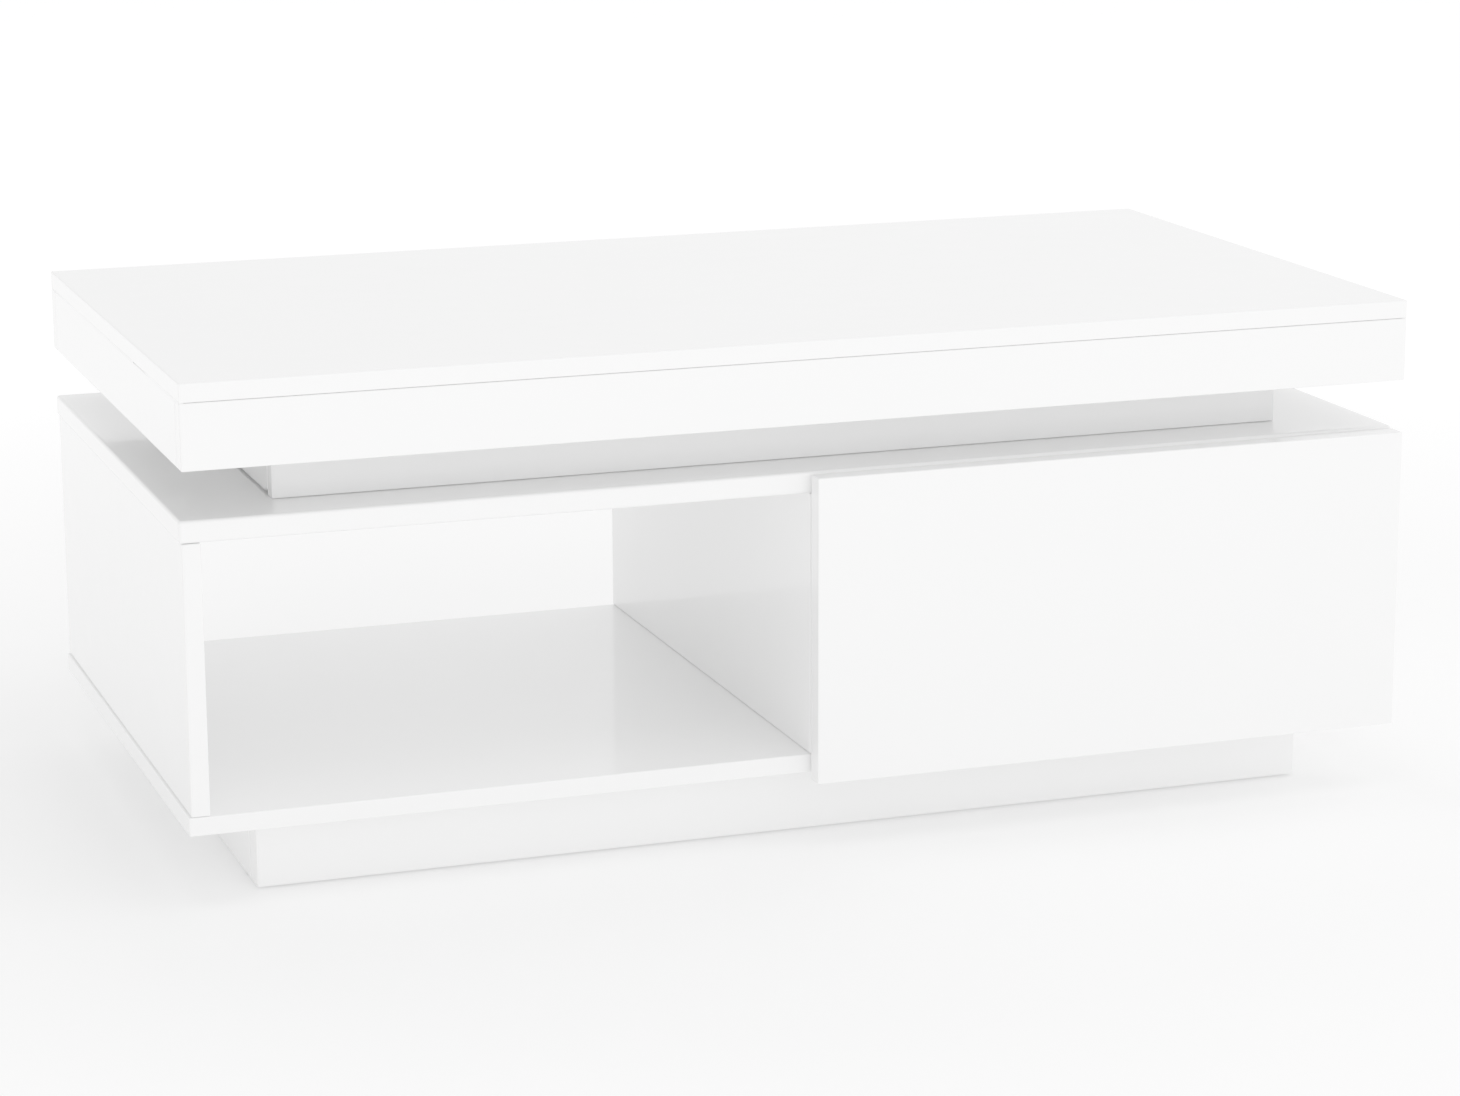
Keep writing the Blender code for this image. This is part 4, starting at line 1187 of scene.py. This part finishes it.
def turned(node, profile, segments, up):
    """A turned shape that stands on a node's lower face, or hangs from its upper one."""
    at = middle(node)
    at.z = low(node).z if up > 0 else high(node).z
    return gather([(lathe(profile, segments), facing(at, (0, 0, up)))])


def make_bumper(node):
    size = high(node) - low(node)
    profile = [(0.0, 0.0), (0.0, size.x / 2)]
    for rise, radius in dome(1 - BUMPER_EDGE, 1.0):
        profile.append((size.z * (BUMPER_EDGE + rise), size.x / 2 * radius**BUMPER_FULLNESS))
    profile.append((size.z, 0.0))
    add_piece(f"{node}_dome", turned(node, profile, 40, 1), "bumper_rubber", "root", node)


def make_glide(node):
    """A sole that faces down, with a nail sunk in its middle."""
    size = high(node) - low(node)
    sole = [(size.z * along, size.x / 2 * out) for along, out in SOLE_SHARES]
    nail = [(size.z * along, size.x / 2 * out) for along, out in NAIL_SHARES]
    add_piece(f"{node}_sole", turned(node, sole, 40, -1), "glide_plastic", "root", node)
    add_piece(f"{node}_nail", turned(node, nail, 24, -1), "zinc_steel", "root")


# ---- studio


def floor_material():
    """A pale seamless floor, a little brighter than the light that falls on it."""
    material, tree, shader = new_material("studio_floor")
    coords = object_coords(tree)
    cloud = noise(tree, coords, 3.0, 2.0)
    colour = blend_colours(tree, cloud, (0.95, 0.95, 0.95), (0.97, 0.97, 0.97))
    tree.links.new(colour, shader.inputs["Base Color"])
    shader.inputs["Roughness"].default_value = 0.9
    shader.inputs["Specular IOR Level"].default_value = 0.0
    shader.inputs["Emission Color"].default_value = (1.0, 1.0, 1.0, 1.0)
    away = tree.nodes.new("ShaderNodeVectorMath")
    away.operation = "LENGTH"
    tree.links.new(coords, away.inputs[0])
    glow = remap(tree, away.outputs["Value"], GLOW_NEAR, GLOW_FAR, *GLOW_REACH)
    tree.links.new(glow, shader.inputs["Emission Strength"])
    return material


def make_floor():
    bm = bmesh.new()
    bmesh.ops.create_grid(bm, x_segments=8, y_segments=8, size=FLOOR_SIZE / 2)
    mesh = bpy.data.meshes.new("studio_floor")
    bm.to_mesh(mesh)
    bm.free()
    floor = add_object("studio_floor", mesh)
    mesh.materials.append(floor_material())


def make_world():
    world = bpy.data.worlds.new("studio_dome")
    bpy.context.scene.world = world
    world.use_nodes = True
    tree = world.node_tree
    background = tree.nodes["Background"]
    background.inputs["Color"].default_value = (1.0, 1.0, 1.0, 1.0)
    direction = tree.nodes.new("ShaderNodeTexCoord")
    parts = tree.nodes.new("ShaderNodeSeparateXYZ")
    tree.links.new(direction.outputs["Generated"], parts.inputs[0])
    across = remap(tree, parts.outputs["X"], DOME_LEFT, DOME_RIGHT, -1.0, 1.0)
    strength = remap(tree, parts.outputs["Z"], HORIZON_GLOW, 0.0, *HORIZON_BAND)
    tree.links.new(across, strength.node.inputs["To Max"])
    tree.links.new(strength, background.inputs["Strength"])


def make_light(name, at, size, power):
    data = bpy.data.lights.new(name, "AREA")
    data.shape = "RECTANGLE"
    data.size, data.size_y = size
    data.energy = power
    light = add_object(name, data)
    light.location = at
    aim = Vector(LIGHT_AIM) - light.location
    light.rotation_euler = aim.to_track_quat("-Z", "Y").to_euler()


def make_camera():
    data = bpy.data.cameras.new("photo_camera")
    data.lens = LENS_MM
    data.sensor_width = SENSOR_MM
    data.clip_end = VIEW_DEPTH
    camera = add_object("photo_camera", data)
    turn = (
        Matrix.Rotation(-CAMERA_YAW, 4, "Z")
        @ Matrix.Rotation(math.pi / 2 - CAMERA_PITCH, 4, "X")
        @ Matrix.Rotation(CAMERA_ROLL, 4, "Z")
    )
    camera.matrix_world = Matrix.Translation(CAMERA_AT) @ turn
    bpy.context.scene.camera = camera


def make_studio():
    make_world()
    make_floor()
    for name, (at, size, power) in SOFTBOXES.items():
        make_light(name, at, size, power)
    make_camera()
    display = bpy.context.scene.view_settings
    display.view_transform = "Standard"
    display.gamma = DISPLAY_GAMMA


make_finishes()
dress_nodes()
make_lift()
join_compartment()
join_top()
join_carcass()
join_drawer()
make_seam_fills()
make_slide("left", high("divider_panel").x, 1)
make_slide("right", low("right_side_panel").x, -1)
for end in ("front", "rear"):
    for side, _ in SIDES:
        make_bumper(f"top_bumper_{end}_{side}")
for end in ("front", "rear"):
    for column in ("left", "centre", "right"):
        make_glide(f"floor_glide_{end}_{column}")
make_studio()
